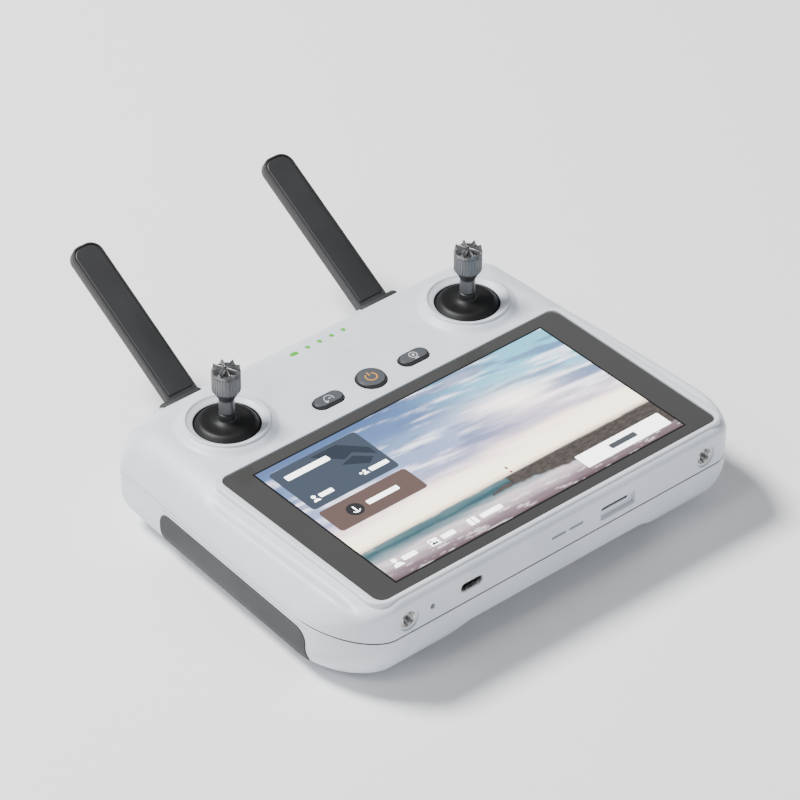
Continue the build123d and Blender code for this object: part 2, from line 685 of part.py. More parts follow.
def upper_cuts():
    """Holes of the upper shell on one side of the middle, mirrored by the caller."""
    cuts = []
    for x, y in SCREW_SPOTS:
        cuts.append(post(x, y, PARTING_Z - 1, SCREW_TIP_Z + 0.5, SCREW_R))
    cuts.append(rod_y(INSERT_X, FRONT_Y - 1, FRONT_Y + INSERT_SEAT, INSERT_Z, INSERT_SEAT_R))
    cuts.append(rod_y(INSERT_X, FRONT_Y - 1, FRONT_Y + 12, INSERT_Z, INSERT_R))
    cuts.append(rod_x(DIAL_X - DIAL_W / 2 - GAP, DIAL_X + DIAL_W / 2 + GAP, DIAL_Y, DIAL_Z, DIAL_R + GAP))
    cuts.append(rod_y(SHOULDER_X, SHOULDER_IN + GAP, REAR_Y + 5, SHOULDER_Z, SHOULDER_R + GAP))
    cuts.append(rod_y(SHOULDER_X, SHOULDER_IN - 3, SHOULDER_IN + GAP, SHOULDER_Z,
                      SHOULDER_R + SHOULDER_FLANGE + GAP))
    cuts.append(post(STICK_X, STICK_Y, -4.0, 6.0, WELL_R))
    cuts.append(Pos(STICK_X, STICK_Y, PIVOT_Z) * Sphere(DOME_R + GAP + 0.1))
    cuts.append(pill(PILL_X, BUTTON_Y, -4, 2, PILL_L + 2 * GAP, PILL_W + 2 * GAP))
    return cuts


def port_cuts():
    cuts = [post(0, BUTTON_Y, -4, 2, POWER_R + GAP)]
    cuts += [post(x, LED_Y, -4, 2, LED_R) for x in LED_XS]
    cuts.append(pill(LED_PILL_X, LED_Y, -4, 2, LED_PILL_L, 2 * LED_R))
    cuts.append(rod_y(MIC_X, FRONT_Y - 1, FRONT_Y + WALL + 0.5, MIC_Z, MIC_HOLE_R))
    cuts.append(pill_y(USB_X, USB_Z, FRONT_Y - 1, FRONT_Y + 8, USB_W + 2 * SEAM, USB_H + 2 * SEAM))
    bay = block(CARD_X - CARD_BAY_W / 2, CARD_X + CARD_BAY_W / 2, FRONT_Y - 1, FRONT_Y + CARD_BAY_DEEP,
                CARD_Z - CARD_BAY_H / 2, CARD_Z + CARD_BAY_H / 2)
    cuts.append(fillet(bay.edges().filter_by(Axis.Y), 0.5))
    cuts.append(block(CARD_X - CARD_SLOT_W / 2, CARD_X + CARD_SLOT_W / 2, FRONT_Y, FRONT_Y + 6,
                      CARD_SLOT_Z - 0.5, CARD_SLOT_Z + 0.5))
    for side in (-1, 1):
        middle = SPEAKER_X + side * (SLOT_L / 2 + 0.6)
        cuts.append(pill_y(middle, SPEAKER_Z, FRONT_Y - 1, FRONT_Y + WALL, SLOT_L, SLOT_H))
    return cuts


def upper_shell():
    outer = upper_body()
    body = outer + screen_rim() + pair(stick_collar())
    inner = upper_body(WALL)
    ledge = block(-GLASS_X / 2 - 2, GLASS_X / 2 + 2, FRONT_Y + 1.5, GLASS_Y / 2 + 2, -GLASS_T - PANEL_T, 0)
    thick_front = block(CARD_X - 8.5, CARD_X + 8.5, FRONT_Y + 1.0, FRONT_Y + WALL + 1.5, PARTING_Z + 1.0, -5.0)
    skirt = block(-90, 90, FRONT_Y, REAR_Y, PARTING_Z - 1, PARTING_Z)
    body = body - (inner - ledge) - skirt
    bosses = Part() + upper_bosses()
    body += (pair(bosses) & (outer + block(-90, 90, FRONT_Y + 1, REAR_Y - 1, GIMBAL_BASE_Z, PARTING_Z))) + thick_front
    glass_seat = rounded_plate(GLASS_X / 2 + SEAM, -GLASS_Y / 2 - SEAM, GLASS_Y / 2 + SEAM, -GLASS_T, 3,
                               GLASS_CORNER)
    window = block(-PANEL_X / 2 - 0.8, PANEL_X / 2 + 0.8, -PANEL_Y / 2 - 1.2, PANEL_Y / 2 + 0.8, -4, 0)
    cuts = Part() + upper_cuts()
    body -= glass_seat
    body -= window
    body -= pair(cuts)
    for cut in port_cuts():
        body -= cut
    return body


def lower_shell():
    outer = lower_body() - recess()
    inner = lower_body(WALL) - recess(WALL)
    body = outer - inner
    top_trim = block(-90, 90, FRONT_Y - 5, REAR_Y + 20, PARTING_Z - SEAM, PARTING_Z + 1)
    bosses = []
    for x, y in SCREW_SPOTS:
        bosses.append(post(x, y, -40, PARTING_Z - SEAM, SCREW_BOSS_R + 0.6))
    for y in (-22.0, 22.0):
        bosses.append(post(52.0, y, -40, BOARD_Z - BOARD_T, 2.4))
    bosses = pair(Part() + bosses) & (outer + block(-60, 60, -30, 30, PARTING_Z - 1, BOARD_Z - BOARD_T))
    ears = Part() + [hinge_ear(span) for span in hinge_ears_x()]
    ears -= rod_x(0, 90, HINGE_Y, HINGE_Z, PIN_R)
    body = body - top_trim + bosses + (pair(ears) - inner)
    for x, y in SCREW_SPOTS:
        body -= pair(post(x, y, -40, PARTING_Z + 1, SCREW_R))
        body -= pair(post(x, y, -40, SCREW_SEAT_Z, SCREW_HEAD_R + 0.2))
    band = lower_body(-2.0) - lower_body(PAD_T)
    return body - pair(band & pad_window(SEAM))


def to_part_frame():
    """Moves the design frame's zero to the part's own: middle of its length, on the ground."""
    lean = radians(ANTENNA_LEAN)
    tip_y = HINGE_Y + ANTENNA_LEN * cos(lean) + ANTENNA_T / 2 * sin(lean)
    return Pos(0, -(FRONT_Y + tip_y) / 2, -GRIP_Z)


BUTTON_OUTLINES = {
    "power_button": (0.0, Circle(POWER_R)),
    "left_button": (-PILL_X, SlotOverall(PILL_L, PILL_W)),
    "right_button": (PILL_X, SlotOverall(PILL_L, PILL_W)),
}
SIDED = {
    "grip_pad": grip_pad,
    "stick_knob": stick_knob,
    "stick_post": stick_post,
    "stick_dome": stick_dome,
    "stick_magnet": stick_magnet,
    "gimbal_yoke": gimbal_yoke,
    "gimbal_springs": gimbal_springs,
    "gimbal_base": gimbal_base,
    "gimbal_sensor_board": gimbal_sensor_board,
    "shoulder_dial": shoulder_dial,
    "shoulder_button": shoulder_button,
    "antenna_back": antenna_back,
    "antenna_front": antenna_front,
    "antenna_element": antenna_element,
}
CENTRAL = {
    "upper_shell": upper_shell,
    "lower_shell": lower_shell,
    "screen_glass": screen_glass,
    "display_panel": display_panel,
    "display_frame": display_frame,
    "tact_switches": tact_switches,
    "led_light_guides": led_light_guides,
    "key_board": key_board,
    "antenna_hinge_pins": hinge_pins,
    "threaded_inserts": threaded_inserts,
    "usb_shell": usb_shell,
    "usb_tongue": usb_tongue,
    "card_socket": card_socket,
    "speaker": speaker,
    "microphone": microphone,
    "main_board": main_board,
    "shield_cans": shield_cans,
    "battery_pack": battery_pack,
    "case_screws": case_screws,
}


def all_nodes():
    nodes = {name: make() for name, make in CENTRAL.items()}
    for name, (x, outline) in BUTTON_OUTLINES.items():
        nodes[name] = button_cap(x, outline)
    for name, make in SIDED.items():
        right = make()
        nodes["right_" + name] = right
        nodes["left_" + name] = mirrored(right)
    return nodes


os.makedirs("parts", exist_ok=True)
for node_name, shape in all_nodes().items():
    export_step(to_part_frame() * shape, "parts/" + node_name + ".step")
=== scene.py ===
"""Drone controller with a built-in screen: its looks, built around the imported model."""

import json
import math

import bmesh
import bpy
from mathutils import Matrix, Vector, noise


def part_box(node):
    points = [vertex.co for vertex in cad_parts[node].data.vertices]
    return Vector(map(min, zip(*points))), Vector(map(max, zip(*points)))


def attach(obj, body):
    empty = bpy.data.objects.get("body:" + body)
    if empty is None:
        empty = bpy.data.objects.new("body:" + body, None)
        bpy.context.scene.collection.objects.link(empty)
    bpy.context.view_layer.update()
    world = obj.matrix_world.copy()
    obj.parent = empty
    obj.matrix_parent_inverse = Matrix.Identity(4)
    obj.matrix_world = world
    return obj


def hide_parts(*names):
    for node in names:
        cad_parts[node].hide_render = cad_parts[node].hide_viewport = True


bl_info = {
    "name": "Drone Controller",
    "version": (1, 0, 0),
    "blender": (4, 5, 0),
    "location": "View3D > Sidebar > Controller",
    "description": "Builds the pieces of a handheld drone controller around its packed model",
    "category": "Add Mesh",
}

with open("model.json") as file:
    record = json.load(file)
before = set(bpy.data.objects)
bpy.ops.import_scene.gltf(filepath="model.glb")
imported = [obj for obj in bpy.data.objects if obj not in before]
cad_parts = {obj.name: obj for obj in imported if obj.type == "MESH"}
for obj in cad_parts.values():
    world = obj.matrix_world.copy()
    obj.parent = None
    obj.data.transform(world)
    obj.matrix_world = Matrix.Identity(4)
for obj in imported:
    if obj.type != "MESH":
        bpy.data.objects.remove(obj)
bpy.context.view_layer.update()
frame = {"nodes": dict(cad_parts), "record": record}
MM = 0.001

# ---- Places, all in millimetres from the middle of the cover glass's top face ---------
GLASS_LOW, GLASS_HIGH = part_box("screen_glass")
ZERO = Vector(((GLASS_LOW.x + GLASS_HIGH.x) / 2, (GLASS_LOW.y + GLASS_HIGH.y) / 2, GLASS_HIGH.z))
SHELL_LOW, SHELL_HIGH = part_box("upper_shell")
GRIP_LOW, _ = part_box("lower_shell")
FRONT_Y = (SHELL_LOW.y - ZERO.y) / MM
REAR_Y = (SHELL_HIGH.y - ZERO.y) / MM
GRIP_Z = (GRIP_LOW.z - ZERO.z) / MM


def local_box(node):
    """A CAD node's corners in millimetres from ZERO."""
    low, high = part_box(node)
    return (low - ZERO) / MM, (high - ZERO) / MM


def middle(node):
    low, high = local_box(node)
    return (low + high) / 2


STICK = middle("right_stick_knob")
POWER = middle("power_button")
PILL = middle("right_button")
HINGE = middle("antenna_hinge_pins")
DIAL = middle("right_shoulder_dial")
DIAL_LOW, DIAL_HIGH = local_box("right_shoulder_dial")
DIAL_R = (DIAL_HIGH.z - DIAL_LOW.z) / 2
TRIGGER_OUT = local_box("right_shoulder_button")[1].y
TOP_Z = 0.0              # flat of the deck
RIM_Z = 0.5              # lip round the glass
PARTING_Z = -14.0
FLOOR_Z = -24.0          # ceiling of the space between the grips
WALL = 2.0
DOME_PIVOT_Z = -9.0
DOME_R = 14.4
INSERT_X, INSERT_Z = 62.9, -8.9
USB_X, USB_Z = -37.4, -8.0
LIGHT_Y = 76.0
BAR_LIGHT_X = -10.5
DOT_LIGHTS_X = (-4.7, 0.4, 5.5, 10.5)
DIAL_X = 60.0
TRIGGER_X, TRIGGER_Z = 70.0, -9.0
FRONT_BOLT, REAR_BOLTS = (47.5, -37.4), ((27.0, 44.2), (22.0, 79.5))
ANTENNA_X = 41.1
ANTENNA_REST = 30.5      # degrees above level


class ControllerSizes(bpy.types.PropertyGroup):
    """Sizes of the looks, in millimetres."""

    side_roll: bpy.props.FloatProperty(
        name="Side Roll", description="Rounding of the upper shell's sides in mm", default=14.0, min=4.0)
    front_roll: bpy.props.FloatProperty(
        name="Front Roll", description="Rounding of the front top edge in mm", default=3.2, min=1.0)
    rear_roll: bpy.props.FloatProperty(
        name="Rear Roll", description="Rounding of the rear top edge in mm", default=10.0, min=2.0)
    edge_break: bpy.props.FloatProperty(
        name="Edge Break", description="Rounding of moulded edges in mm", default=0.25, min=0.05)
    knob_flutes: bpy.props.IntProperty(
        name="Knob Flutes", description="Flutes round each stick knob", default=30, min=8)
    knob_teeth: bpy.props.IntProperty(
        name="Knob Teeth", description="Teeth of each knob's star top", default=8, min=4)
    dial_ribs: bpy.props.IntProperty(
        name="Dial Ribs", description="Ribs round each shoulder dial", default=24, min=8)


class ControllerColours(bpy.types.PropertyGroup):
    """Main colours, as sRGB hex."""

    shell: bpy.props.StringProperty(name="Shell", description="Moulded case", default="DAE0E7")
    pad: bpy.props.StringProperty(name="Pads", description="Rubber grip pads", default="424345")
    antenna: bpy.props.StringProperty(name="Antennas", description="Antenna blades", default="2A2A2B")
    key: bpy.props.StringProperty(name="Keys", description="Key tops", default="4B4E52")
    knob: bpy.props.StringProperty(name="Knobs", description="Anodised stick knobs", default="838384")
    light: bpy.props.StringProperty(name="Lights", description="Charge lights", default="3FA428")


# ---- Mesh tools --------------------------------------------------------------------
def to_frame(obj):
    """Turns an object drawn in millimetres about ZERO into frame metres, with its place in its mesh."""
    obj.data.transform(Matrix.Translation(ZERO) @ Matrix.Scale(MM, 4))
    return obj


def place_mesh(name, mesh):
    obj = bpy.data.objects.new(name, mesh)
    bpy.context.scene.collection.objects.link(obj)
    return obj


def make(name, vertices, faces):
    mesh = bpy.data.meshes.new(name)
    mesh.from_pydata([tuple(v) for v in vertices], [], faces)
    mesh.update()
    return place_mesh(name, mesh)


def rework(obj, change):
    """Runs change on a bmesh of the object and writes it back."""
    work = bmesh.new()
    work.from_mesh(obj.data)
    change(work)
    work.to_mesh(obj.data)
    work.free()
    obj.data.update()
    return obj


def tidy(obj, gap=1e-5):
    """Merges doubles and points every face outwards."""
    def change(work):
        bmesh.ops.remove_doubles(work, verts=work.verts, dist=gap)
        bmesh.ops.dissolve_degenerate(work, edges=work.edges, dist=gap)
        bmesh.ops.recalc_face_normals(work, faces=work.faces)
    return rework(obj, change)


def flatten(obj):
    """Replaces the object's mesh by what its modifiers make of it."""
    graph = bpy.context.evaluated_depsgraph_get()
    result = bpy.data.meshes.new_from_object(obj.evaluated_get(graph))
    obj.modifiers.clear()
    old = obj.data
    obj.data = result
    bpy.data.meshes.remove(old)
    return obj


def discard(*objects):
    for obj in objects:
        mesh = obj.data
        bpy.data.objects.remove(obj)
        if mesh.users == 0:
            bpy.data.meshes.remove(mesh)


def combine(obj, others, operation="DIFFERENCE"):
    """Boolean of obj with each of the others, which are used up."""
    for other in others:
        modifier = obj.modifiers.new("combine", "BOOLEAN")
        modifier.operation = operation
        modifier.solver = "MANIFOLD"
        modifier.object = other
        flatten(obj)
    discard(*others)
    return obj


def join(name, objects):
    """One object from several, with their materials dropped."""
    work = bmesh.new()
    for obj in objects:
        work.from_mesh(obj.data)
    mesh = bpy.data.meshes.new(name)
    work.to_mesh(mesh)
    work.free()
    discard(*objects)
    return place_mesh(name, mesh)


def mirror(obj, name):
    """A mirror image across the middle of the controller, with its faces outwards."""
    result = place_mesh(name, obj.data.copy())
    result.data.transform(Matrix.Scale(-1, 4, Vector((1, 0, 0))))
    result.data.flip_normals()
    return result


def soften(obj, width, segments):
    """Rounds the sharp edges by width millimetres and shades the rest smooth."""
    modifier = obj.modifiers.new("edge", "BEVEL")
    modifier.width = width
    modifier.segments = segments
    modifier.limit_method = "ANGLE"
    modifier.angle_limit = math.radians(35.0)
    modifier.use_clamp_overlap = True
    modifier.harden_normals = False
    return shade(flatten(obj))


def shade(obj, angle=38.0):
    """Smooth shading that breaks at edges sharper than angle."""
    mesh = obj.data
    mesh.shade_smooth()
    limit = math.radians(angle)

    def change(work):
        for edge in work.edges:
            edge.smooth = not (len(edge.link_faces) == 2 and edge.calc_face_angle(0.0) > limit)
    return rework(obj, change)


def finish_piece(obj, body, material, replaces=()):
    """Gives a piece its finish, its place and its body, and hides the CAD nodes it stands for."""
    if material is not None:
        obj.data.materials.clear()
        obj.data.materials.append(material)
    to_frame(obj)
    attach(obj, body)
    if replaces:
        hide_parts(*replaces)
    return obj


def cut_piece(name, obj, body, key, replaces):
    """Names, cleans, shades and finishes a piece that is cut from one solid."""
    obj.name = name
    shade(tidy(obj, FINE), 32.0)
    return finish_piece(obj, body, FINISH[key], replaces)


# ---- Basic forms -------------------------------------------------------------------
# Where a flat outline's two coordinates and its height go when it is run along an axis.
ALONG = {"z": lambda a, b, c: (a, b, c), "y": lambda a, b, c: (a, c, b), "x": lambda a, b, c: (c, a, b)}
FINE = 1e-4              # gap in millimetres under which two points are one


def loft(name, rings, gap=FINE):
    """Closed solid through rings that have as many points each."""
    count = len(rings[0])
    faces = []
    for start in range(0, (len(rings) - 1) * count, count):
        for i in range(count):
            j = (i + 1) % count
            faces.append([start + i, start + j, start + count + j, start + count + i])
    faces.append(list(range(count - 1, -1, -1)))
    faces.append([(len(rings) - 1) * count + i for i in range(count)])
    return tidy(make(name, [point for ring in rings for point in ring], faces), gap)


def prism(outline, low, high, axis="z"):
    """Closed prism over a flat outline, run along an axis."""
    return loft("prism", [[ALONG[axis](a, b, height) for a, b in outline] for height in (low, high)], 1e-5)


def arc(cx, cy, radius, start, end, steps):
    return [
        (cx + radius * math.cos(math.radians(start + (end - start) * i / steps)),
         cy + radius * math.sin(math.radians(start + (end - start) * i / steps)))
        for i in range(steps + 1)
    ]


def rounded(x0, x1, y0, y1, radius, steps=8):
    """Outline of a rectangle with round corners."""
    return (
        arc(x1 - radius, y0 + radius, radius, -90, 0, steps)
        + arc(x1 - radius, y1 - radius, radius, 0, 90, steps)
        + arc(x0 + radius, y1 - radius, radius, 90, 180, steps)
        + arc(x0 + radius, y0 + radius, radius, 180, 270, steps)
    )


def circle(cx, cy, radius, steps=48):
    return arc(cx, cy, radius, 0, 360 - 360 / steps, steps - 1)


def stadium(cx, cy, length, width, steps=16):
    half = (length - width) / 2
    return arc(cx + half, cy, width / 2, -90, 90, steps) + arc(cx - half, cy, width / 2, 90, 270, steps)


def lathe(profile, cx, cy, steps=96):
    """Closed solid of revolution about an upright axis from (radius, height) points."""
    vertices, faces = [], []
    count = len(profile)
    for i in range(steps):
        angle = 2 * math.pi * i / steps
        vertices += [(cx + r * math.cos(angle), cy + r * math.sin(angle), z) for r, z in profile]
    for i in range(steps):
        j = (i + 1) % steps
        for k in range(count):
            m = (k + 1) % count
            faces.append([i * count + k, j * count + k, j * count + m, i * count + m])
    return tidy(make("lathe", vertices, faces), FINE)


def smooth_step(low, high, value):
    share = min(max((value - low) / (high - low), 0.0), 1.0)
    return share * share * (3 - 2 * share)


def mix(start, end, share):
    return start + (end - start) * share


# ---- The case's flowing surface ------------------------------------------------------
HALF_FRONT = 84.9
HALF_REAR = 81.5
FRONT_CORNER = (17.0, 29.0)
REAR_CORNER = (21.0, 9.4)
CORNER_PULL = 0.5
LINE_STEPS = 22
CORNER_STEPS = 22
SEAM_CHAMFER = 0.3
SEAM_DEPTH = 0.75


def bezier(points, share):
    a, b, c, d = points
    rest = 1 - share
    return a * rest**3 + b * (3 * rest * rest * share) + c * (3 * rest * share * share) + d * share**3


def ring_points(side, front, rear, front_corner, rear_corner):
    """Right half of the planform from the front's middle to the rear's, with each point's region.

    A region is (side share, rear share): (0, 0) on the front, (1, 0) on the side, (0, 1) on the rear.
    """
    y0, y1 = FRONT_Y + front, REAR_Y - rear
    fx, fy = front_corner
    rx, ry = rear_corner
    xf, xr = HALF_FRONT - side, HALF_REAR - side
    front_end, rear_end = Vector((xf - fx, y0)), Vector((xr - rx, y1))
    side_0, side_1 = Vector((xf, y0 + fy)), Vector((xr, y1 - ry))
    run = (side_1 - side_0).normalized()
    nose = (front_end, front_end + Vector((fx * CORNER_PULL, 0)), side_0 - run * fy * CORNER_PULL, side_0)
    tail = (side_1, side_1 + run * ry * CORNER_PULL, rear_end + Vector((rx * CORNER_PULL, 0)), rear_end)
    corner = [i / CORNER_STEPS for i in range(CORNER_STEPS)]
    points = [(Vector((front_end.x * i / LINE_STEPS, y0)), (0.0, 0.0)) for i in range(LINE_STEPS)]
    points += [(bezier(nose, share), (smooth_step(0, 1, share), 0.0)) for share in corner]
    points += [(side_0.lerp(side_1, i / LINE_STEPS), (1.0, 0.0)) for i in range(LINE_STEPS)]
    points += [
        (bezier(tail, share), (1 - smooth_step(0, 1, share), smooth_step(0, 1, share))) for share in corner]
    points += [(Vector((rear_end.x * (1 - i / LINE_STEPS), y1)), (0.0, 1.0)) for i in range(LINE_STEPS + 1)]
    return points


def region_value(region, front, side, rear):
    side_share, rear_share = region
    return front * (1 - side_share - rear_share) + side * side_share + rear * rear_share


def skin(runs, rises, corners, start_z, end_z, inset, shape=None):
    """Closed body whose wall rises from start_z and rolls over to end_z.

    runs and rises are the roll's (front, side, rear) sizes. shape(x, y, z) may move a point's height.
    """
    way = 1 if end_z > start_z else -1
    end_z -= way * inset
    runs = [max(run - inset, 0.8) for run in runs]
    rises = [max(rise - inset, 0.8) for rise in rises]
    top_front, top_rear = corners
    levels = [("wall", 0)] + [("wall", i / 6) for i in range(6)] + [("roll", i / 40) for i in range(41)]
    levels += [("flat", i / 20) for i in range(1, 20)]
    rings = []
    for kind, share in levels:
        angle = math.radians(90 * share) if kind == "roll" else (0.0 if kind == "wall" else math.radians(90))
        lead = SEAM_DEPTH if not rings else 0.0
        front, side, rear = [run * (1 - math.cos(angle)) + inset + lead for run in runs]
        across = 1 - math.cos(angle)
        front_corner = tuple(mix(a, b, across) for a, b in zip(FRONT_CORNER, top_front))
        rear_corner = tuple(mix(a, b, across) for a, b in zip(REAR_CORNER, top_rear))
        ring = []
        for point, region in ring_points(side, front, rear, front_corner, rear_corner):
            rise = region_value(region, *rises)
            if kind == "wall":
                z = mix(start_z + way * SEAM_CHAMFER, end_z - way * rise, share) if rings else start_z
            elif kind == "roll":
                z = end_z - way * rise * (1 - math.sin(angle))
            else:
                z = end_z
                hub = Vector((0.0, (FRONT_Y + REAR_Y) / 2 + (point.y - (FRONT_Y + REAR_Y) / 2) * 0.02))
                point = point.lerp(hub, share)
            if shape:
                z = shape(point.x, point.y, z)
            ring.append(Vector((point.x, point.y, z)))
        rings.append(ring + [Vector((-p.x, p.y, p.z)) for p in reversed(ring[1:-1])])
    return loft("skin", rings)


def rail(x, y, z):
    """Soft valley and crest along both sides of the screen."""
    x = abs(x)
    along = smooth_step(-40, -31, y) * (1 - smooth_step(30, 41, y)) * smooth_step(PARTING_Z + 2, -3, z)
    valley = math.exp(-((x - 76.4) / 2.0) ** 2)
    crest = math.exp(-((x - 80.6) / 2.3) ** 2)
    return z + along * (0.8 * crest - 1.5 * valley)


def upper_form(inset=0.0):
    sizes = bpy.context.scene.controller_sizes
    rolls = (sizes.front_roll, sizes.side_roll, sizes.rear_roll)
    corners = ((8.0, 10.0), (14.0, 8.0))
    start = PARTING_Z if inset <= 0 else PARTING_Z - 3.0
    return skin(rolls, rolls, corners, start, TOP_Z, inset, rail if inset <= 0 else None)


def corners_rounded(points, steps=10):
    """Closed outline through (x, y, radius) corners, each rounded by its radius."""
    outline = []
    count = len(points)
    for i, (x, y, radius) in enumerate(points):
        here = Vector((x, y))
        if radius <= 0:
            outline.append((x, y))
            continue
        before = (Vector(points[i - 1][:2]) - here).normalized()
        after = (Vector(points[(i + 1) % count][:2]) - here).normalized()
        half = before.angle(after) / 2
        reach = radius / math.tan(half)
        hub = here + (before + after).normalized() * (radius / math.sin(half))
        start, end = here + before * reach - hub, here + after * reach - hub
        turn = start.angle_signed(end)
        for step in range(steps + 1):
            angle = -turn * step / steps
            outline.append((
                hub.x + start.x * math.cos(angle) - start.y * math.sin(angle),
                hub.y + start.x * math.sin(angle) + start.y * math.cos(angle)))
    return outline


def stack(outline, levels, axis="z"):
    """Closed solid through outline(offset) at each (height, offset) level along an axis."""
    place = ALONG[axis]
    return loft("stack", [[place(a, b, height) for a, b in outline(offset)] for height, offset in levels])


def cap(foot, face, edge, steps=4, out=-1):
    """Levels of a plug whose top edge is rounded, or with out=1 of a hole that opens at its mouth."""
    way = 1 if face > foot else -1
    levels = [(foot, 0.0)]
    for i in range(steps + 1):
        angle = math.pi / 2 * i / steps
        levels.append((face - way * edge * (1 - math.sin(angle)), out * edge * (1 - math.cos(angle))))
    return levels


def flare(deep, face, edge, over=1.0):
    """Levels of a cutter that rounds the edge where it leaves the face."""
    way = 1 if face > deep else -1
    return cap(deep, face, edge, out=1) + [(face + way * over, edge)]


def plate_shape(x0, x1, y0, y1, radius):
    return lambda offset: rounded(
        x0 - offset, x1 + offset, y0 - offset, y1 + offset, max(radius + offset, 0.02))


def disc_shape(cx, cy, radius, steps=48):
    return lambda offset: circle(cx, cy, radius + offset, steps)


def pill_shape(cx, cy, length, width):
    return lambda offset: stadium(cx, cy, length + 2 * offset, width + 2 * offset)


def rod(x0, x1, y, z, radius, edge=0.0, steps=48):
    """Round bar along X, with its end edges rounded."""
    levels = [(x0, -edge), (x0 + edge * 0.3, -edge * 0.3), (x0 + edge, 0.0)] if edge else [(x0, 0.0)]
    levels += [(x1 - edge, 0.0), (x1 - edge * 0.3, -edge * 0.3), (x1, -edge)] if edge else [(x1, 0.0)]
    return stack(disc_shape(y, z, radius, steps), levels, "x")


def turned_y(profile, cx, cz, steps=64):
    """Closed solid of revolution about a bar along Y from (radius, y) points."""
    obj = lathe(profile, 0, 0, steps)
    obj.data.transform(Matrix.Translation((cx, 0, cz)) @ Matrix.Rotation(-math.pi / 2, 4, "X"))
    return tidy(obj, FINE)


def slab(name, outline, low, high, material):
    """Thin flat plate with its own finish, drawn in millimetres."""
    obj = prism(outline, low, high)
    obj.name = name
    obj.data.materials.append(material)
    return obj


# ---- Geometry Nodes: what repeats -----------------------------------------------------
def add_node(tree, kind, settings=None, links=None, **values):
    """Adds a node with its settings, its socket values and the links into it."""
    node = tree.nodes.new(kind)
    for key, value in (settings or {}).items():
        setattr(node, key, value)
    for key, value in values.items():
        node.inputs[key.replace("_", " ")].default_value = value
    for key, source in (links or {}).items():
        tree.links.new(source, node.inputs[key])
    return node


def repeat_tree():
    """Tree that sets copies of a part along a line or round an axis."""
    tree = bpy.data.node_groups.get("Repeated Detail")
    if tree:
        return tree
    tree = bpy.data.node_groups.new("Repeated Detail", "GeometryNodeTree")
    face = tree.interface
    kinds = {"Geometry": "Geometry", "Part": "Object", "Count": "Int", "Step": "Vector", "Turn": "Vector",
             "Finish": "Material"}
    for name, kind in kinds.items():
        face.new_socket(name, in_out="INPUT", socket_type="NodeSocket" + kind)
    face.new_socket("Geometry", in_out="OUTPUT", socket_type="NodeSocketGeometry")
    inputs = add_node(tree, "NodeGroupInput").outputs
    line = add_node(tree, "GeometryNodeMeshLine", {"mode": "OFFSET"}, {
        "Count": inputs["Count"], "Offset": inputs["Step"]})
    part = add_node(tree, "GeometryNodeObjectInfo", None, {"Object": inputs["Part"]})
    index = add_node(tree, "GeometryNodeInputIndex")
    turn = add_node(tree, "ShaderNodeVectorMath", {"operation": "SCALE"}, {
        0: inputs["Turn"], "Scale": index.outputs[0]})
    copies = add_node(tree, "GeometryNodeInstanceOnPoints", None, {
        "Points": line.outputs["Mesh"], "Instance": part.outputs["Geometry"], "Rotation": turn.outputs[0]})
    real = add_node(tree, "GeometryNodeRealizeInstances", None, {"Geometry": copies.outputs[0]})
    finish = add_node(tree, "GeometryNodeSetMaterial", None, {
        "Geometry": real.outputs[0], "Material": inputs["Finish"]})
    add_node(tree, "NodeGroupOutput", None, {"Geometry": finish.outputs[0]})
    return tree


def repeated(name, part, count, step=(0, 0, 0), turn=(0, 0, 0), finish=None):
    """Plain mesh of count copies of part, each moved and turned on from the last."""
    host = make(name, [(0, 0, 0)], [])
    tree = repeat_tree()
    modifier = host.modifiers.new("repeat", "NODES")
    modifier.node_group = tree
    values = {"Part": part, "Count": count, "Step": step, "Turn": turn, "Finish": finish}
    for item in tree.interface.items_tree:
        if item.in_out == "INPUT" and item.name in values and values[item.name] is not None:
            modifier[item.identifier] = values[item.name]
    flatten(host)
    discard(part)
    return host


# ---- Finishes ------------------------------------------------------------------------
def linear(code):
    """Linear colour from an sRGB hex value."""
    values = [int(code[i:i + 2], 16) / 255 for i in (0, 2, 4)]
    return tuple(v / 12.92 if v <= 0.04045 else ((v + 0.055) / 1.055) ** 2.4 for v in values) + (1.0,)


def surface(name, **sockets):
    """New material with a Principled shader; returns the material, its tree and the shader."""
    material = bpy.data.materials.new(name)
    material.use_nodes = True
    tree = material.node_tree
    shader = tree.nodes["Principled BSDF"]
    for key, value in sockets.items():
        shader.inputs[key.replace("_", " ")].default_value = value
    return material, tree, shader


def textured(name, pattern, colours, roughness, spread, relief, **sockets):
    """Material whose colour, gloss and relief follow noise.

    pattern is (spacing in mm, detail, stretch) for the gloss and relief, and then for the colour.
    relief is (strength, depth in mm).
    """
    material, tree, shader = surface(name, **sockets)
    place = add_node(tree, "ShaderNodeTexCoord").outputs["Object"]
    fields = []
    for spacing, detail, stretch in pattern:
        scaled = add_node(tree, "ShaderNodeVectorMath", {"operation": "MULTIPLY"}, {0: place})
        scaled.inputs[1].default_value = [share / MM for share in stretch]
        field = add_node(tree, "ShaderNodeTexNoise", None, {"Vector": scaled.outputs[0]},
                         Scale=1 / spacing, Detail=detail)
        fields.append(field.outputs[0])
    fine, broad = fields[0], fields[-1]
    ramp = add_node(tree, "ShaderNodeValToRGB", None, {"Fac": broad})
    for element, at, colour in zip(ramp.color_ramp.elements, (0.3, 0.7), colours):
        element.position, element.color = at, linear(colour)
    gloss = add_node(tree, "ShaderNodeMapRange", None, {"Value": fine},
                     To_Min=roughness - spread, To_Max=roughness + spread)
    bump = add_node(
        tree, "ShaderNodeBump", None, {"Height": fine}, Strength=relief[0], Distance=relief[1] * MM)
    for source, socket in ((ramp, "Base Color"), (gloss, "Roughness"), (bump, "Normal")):
        tree.links.new(source.outputs[0], shader.inputs[socket])
    return material


EVEN = (1.0, 1.0, 1.0)


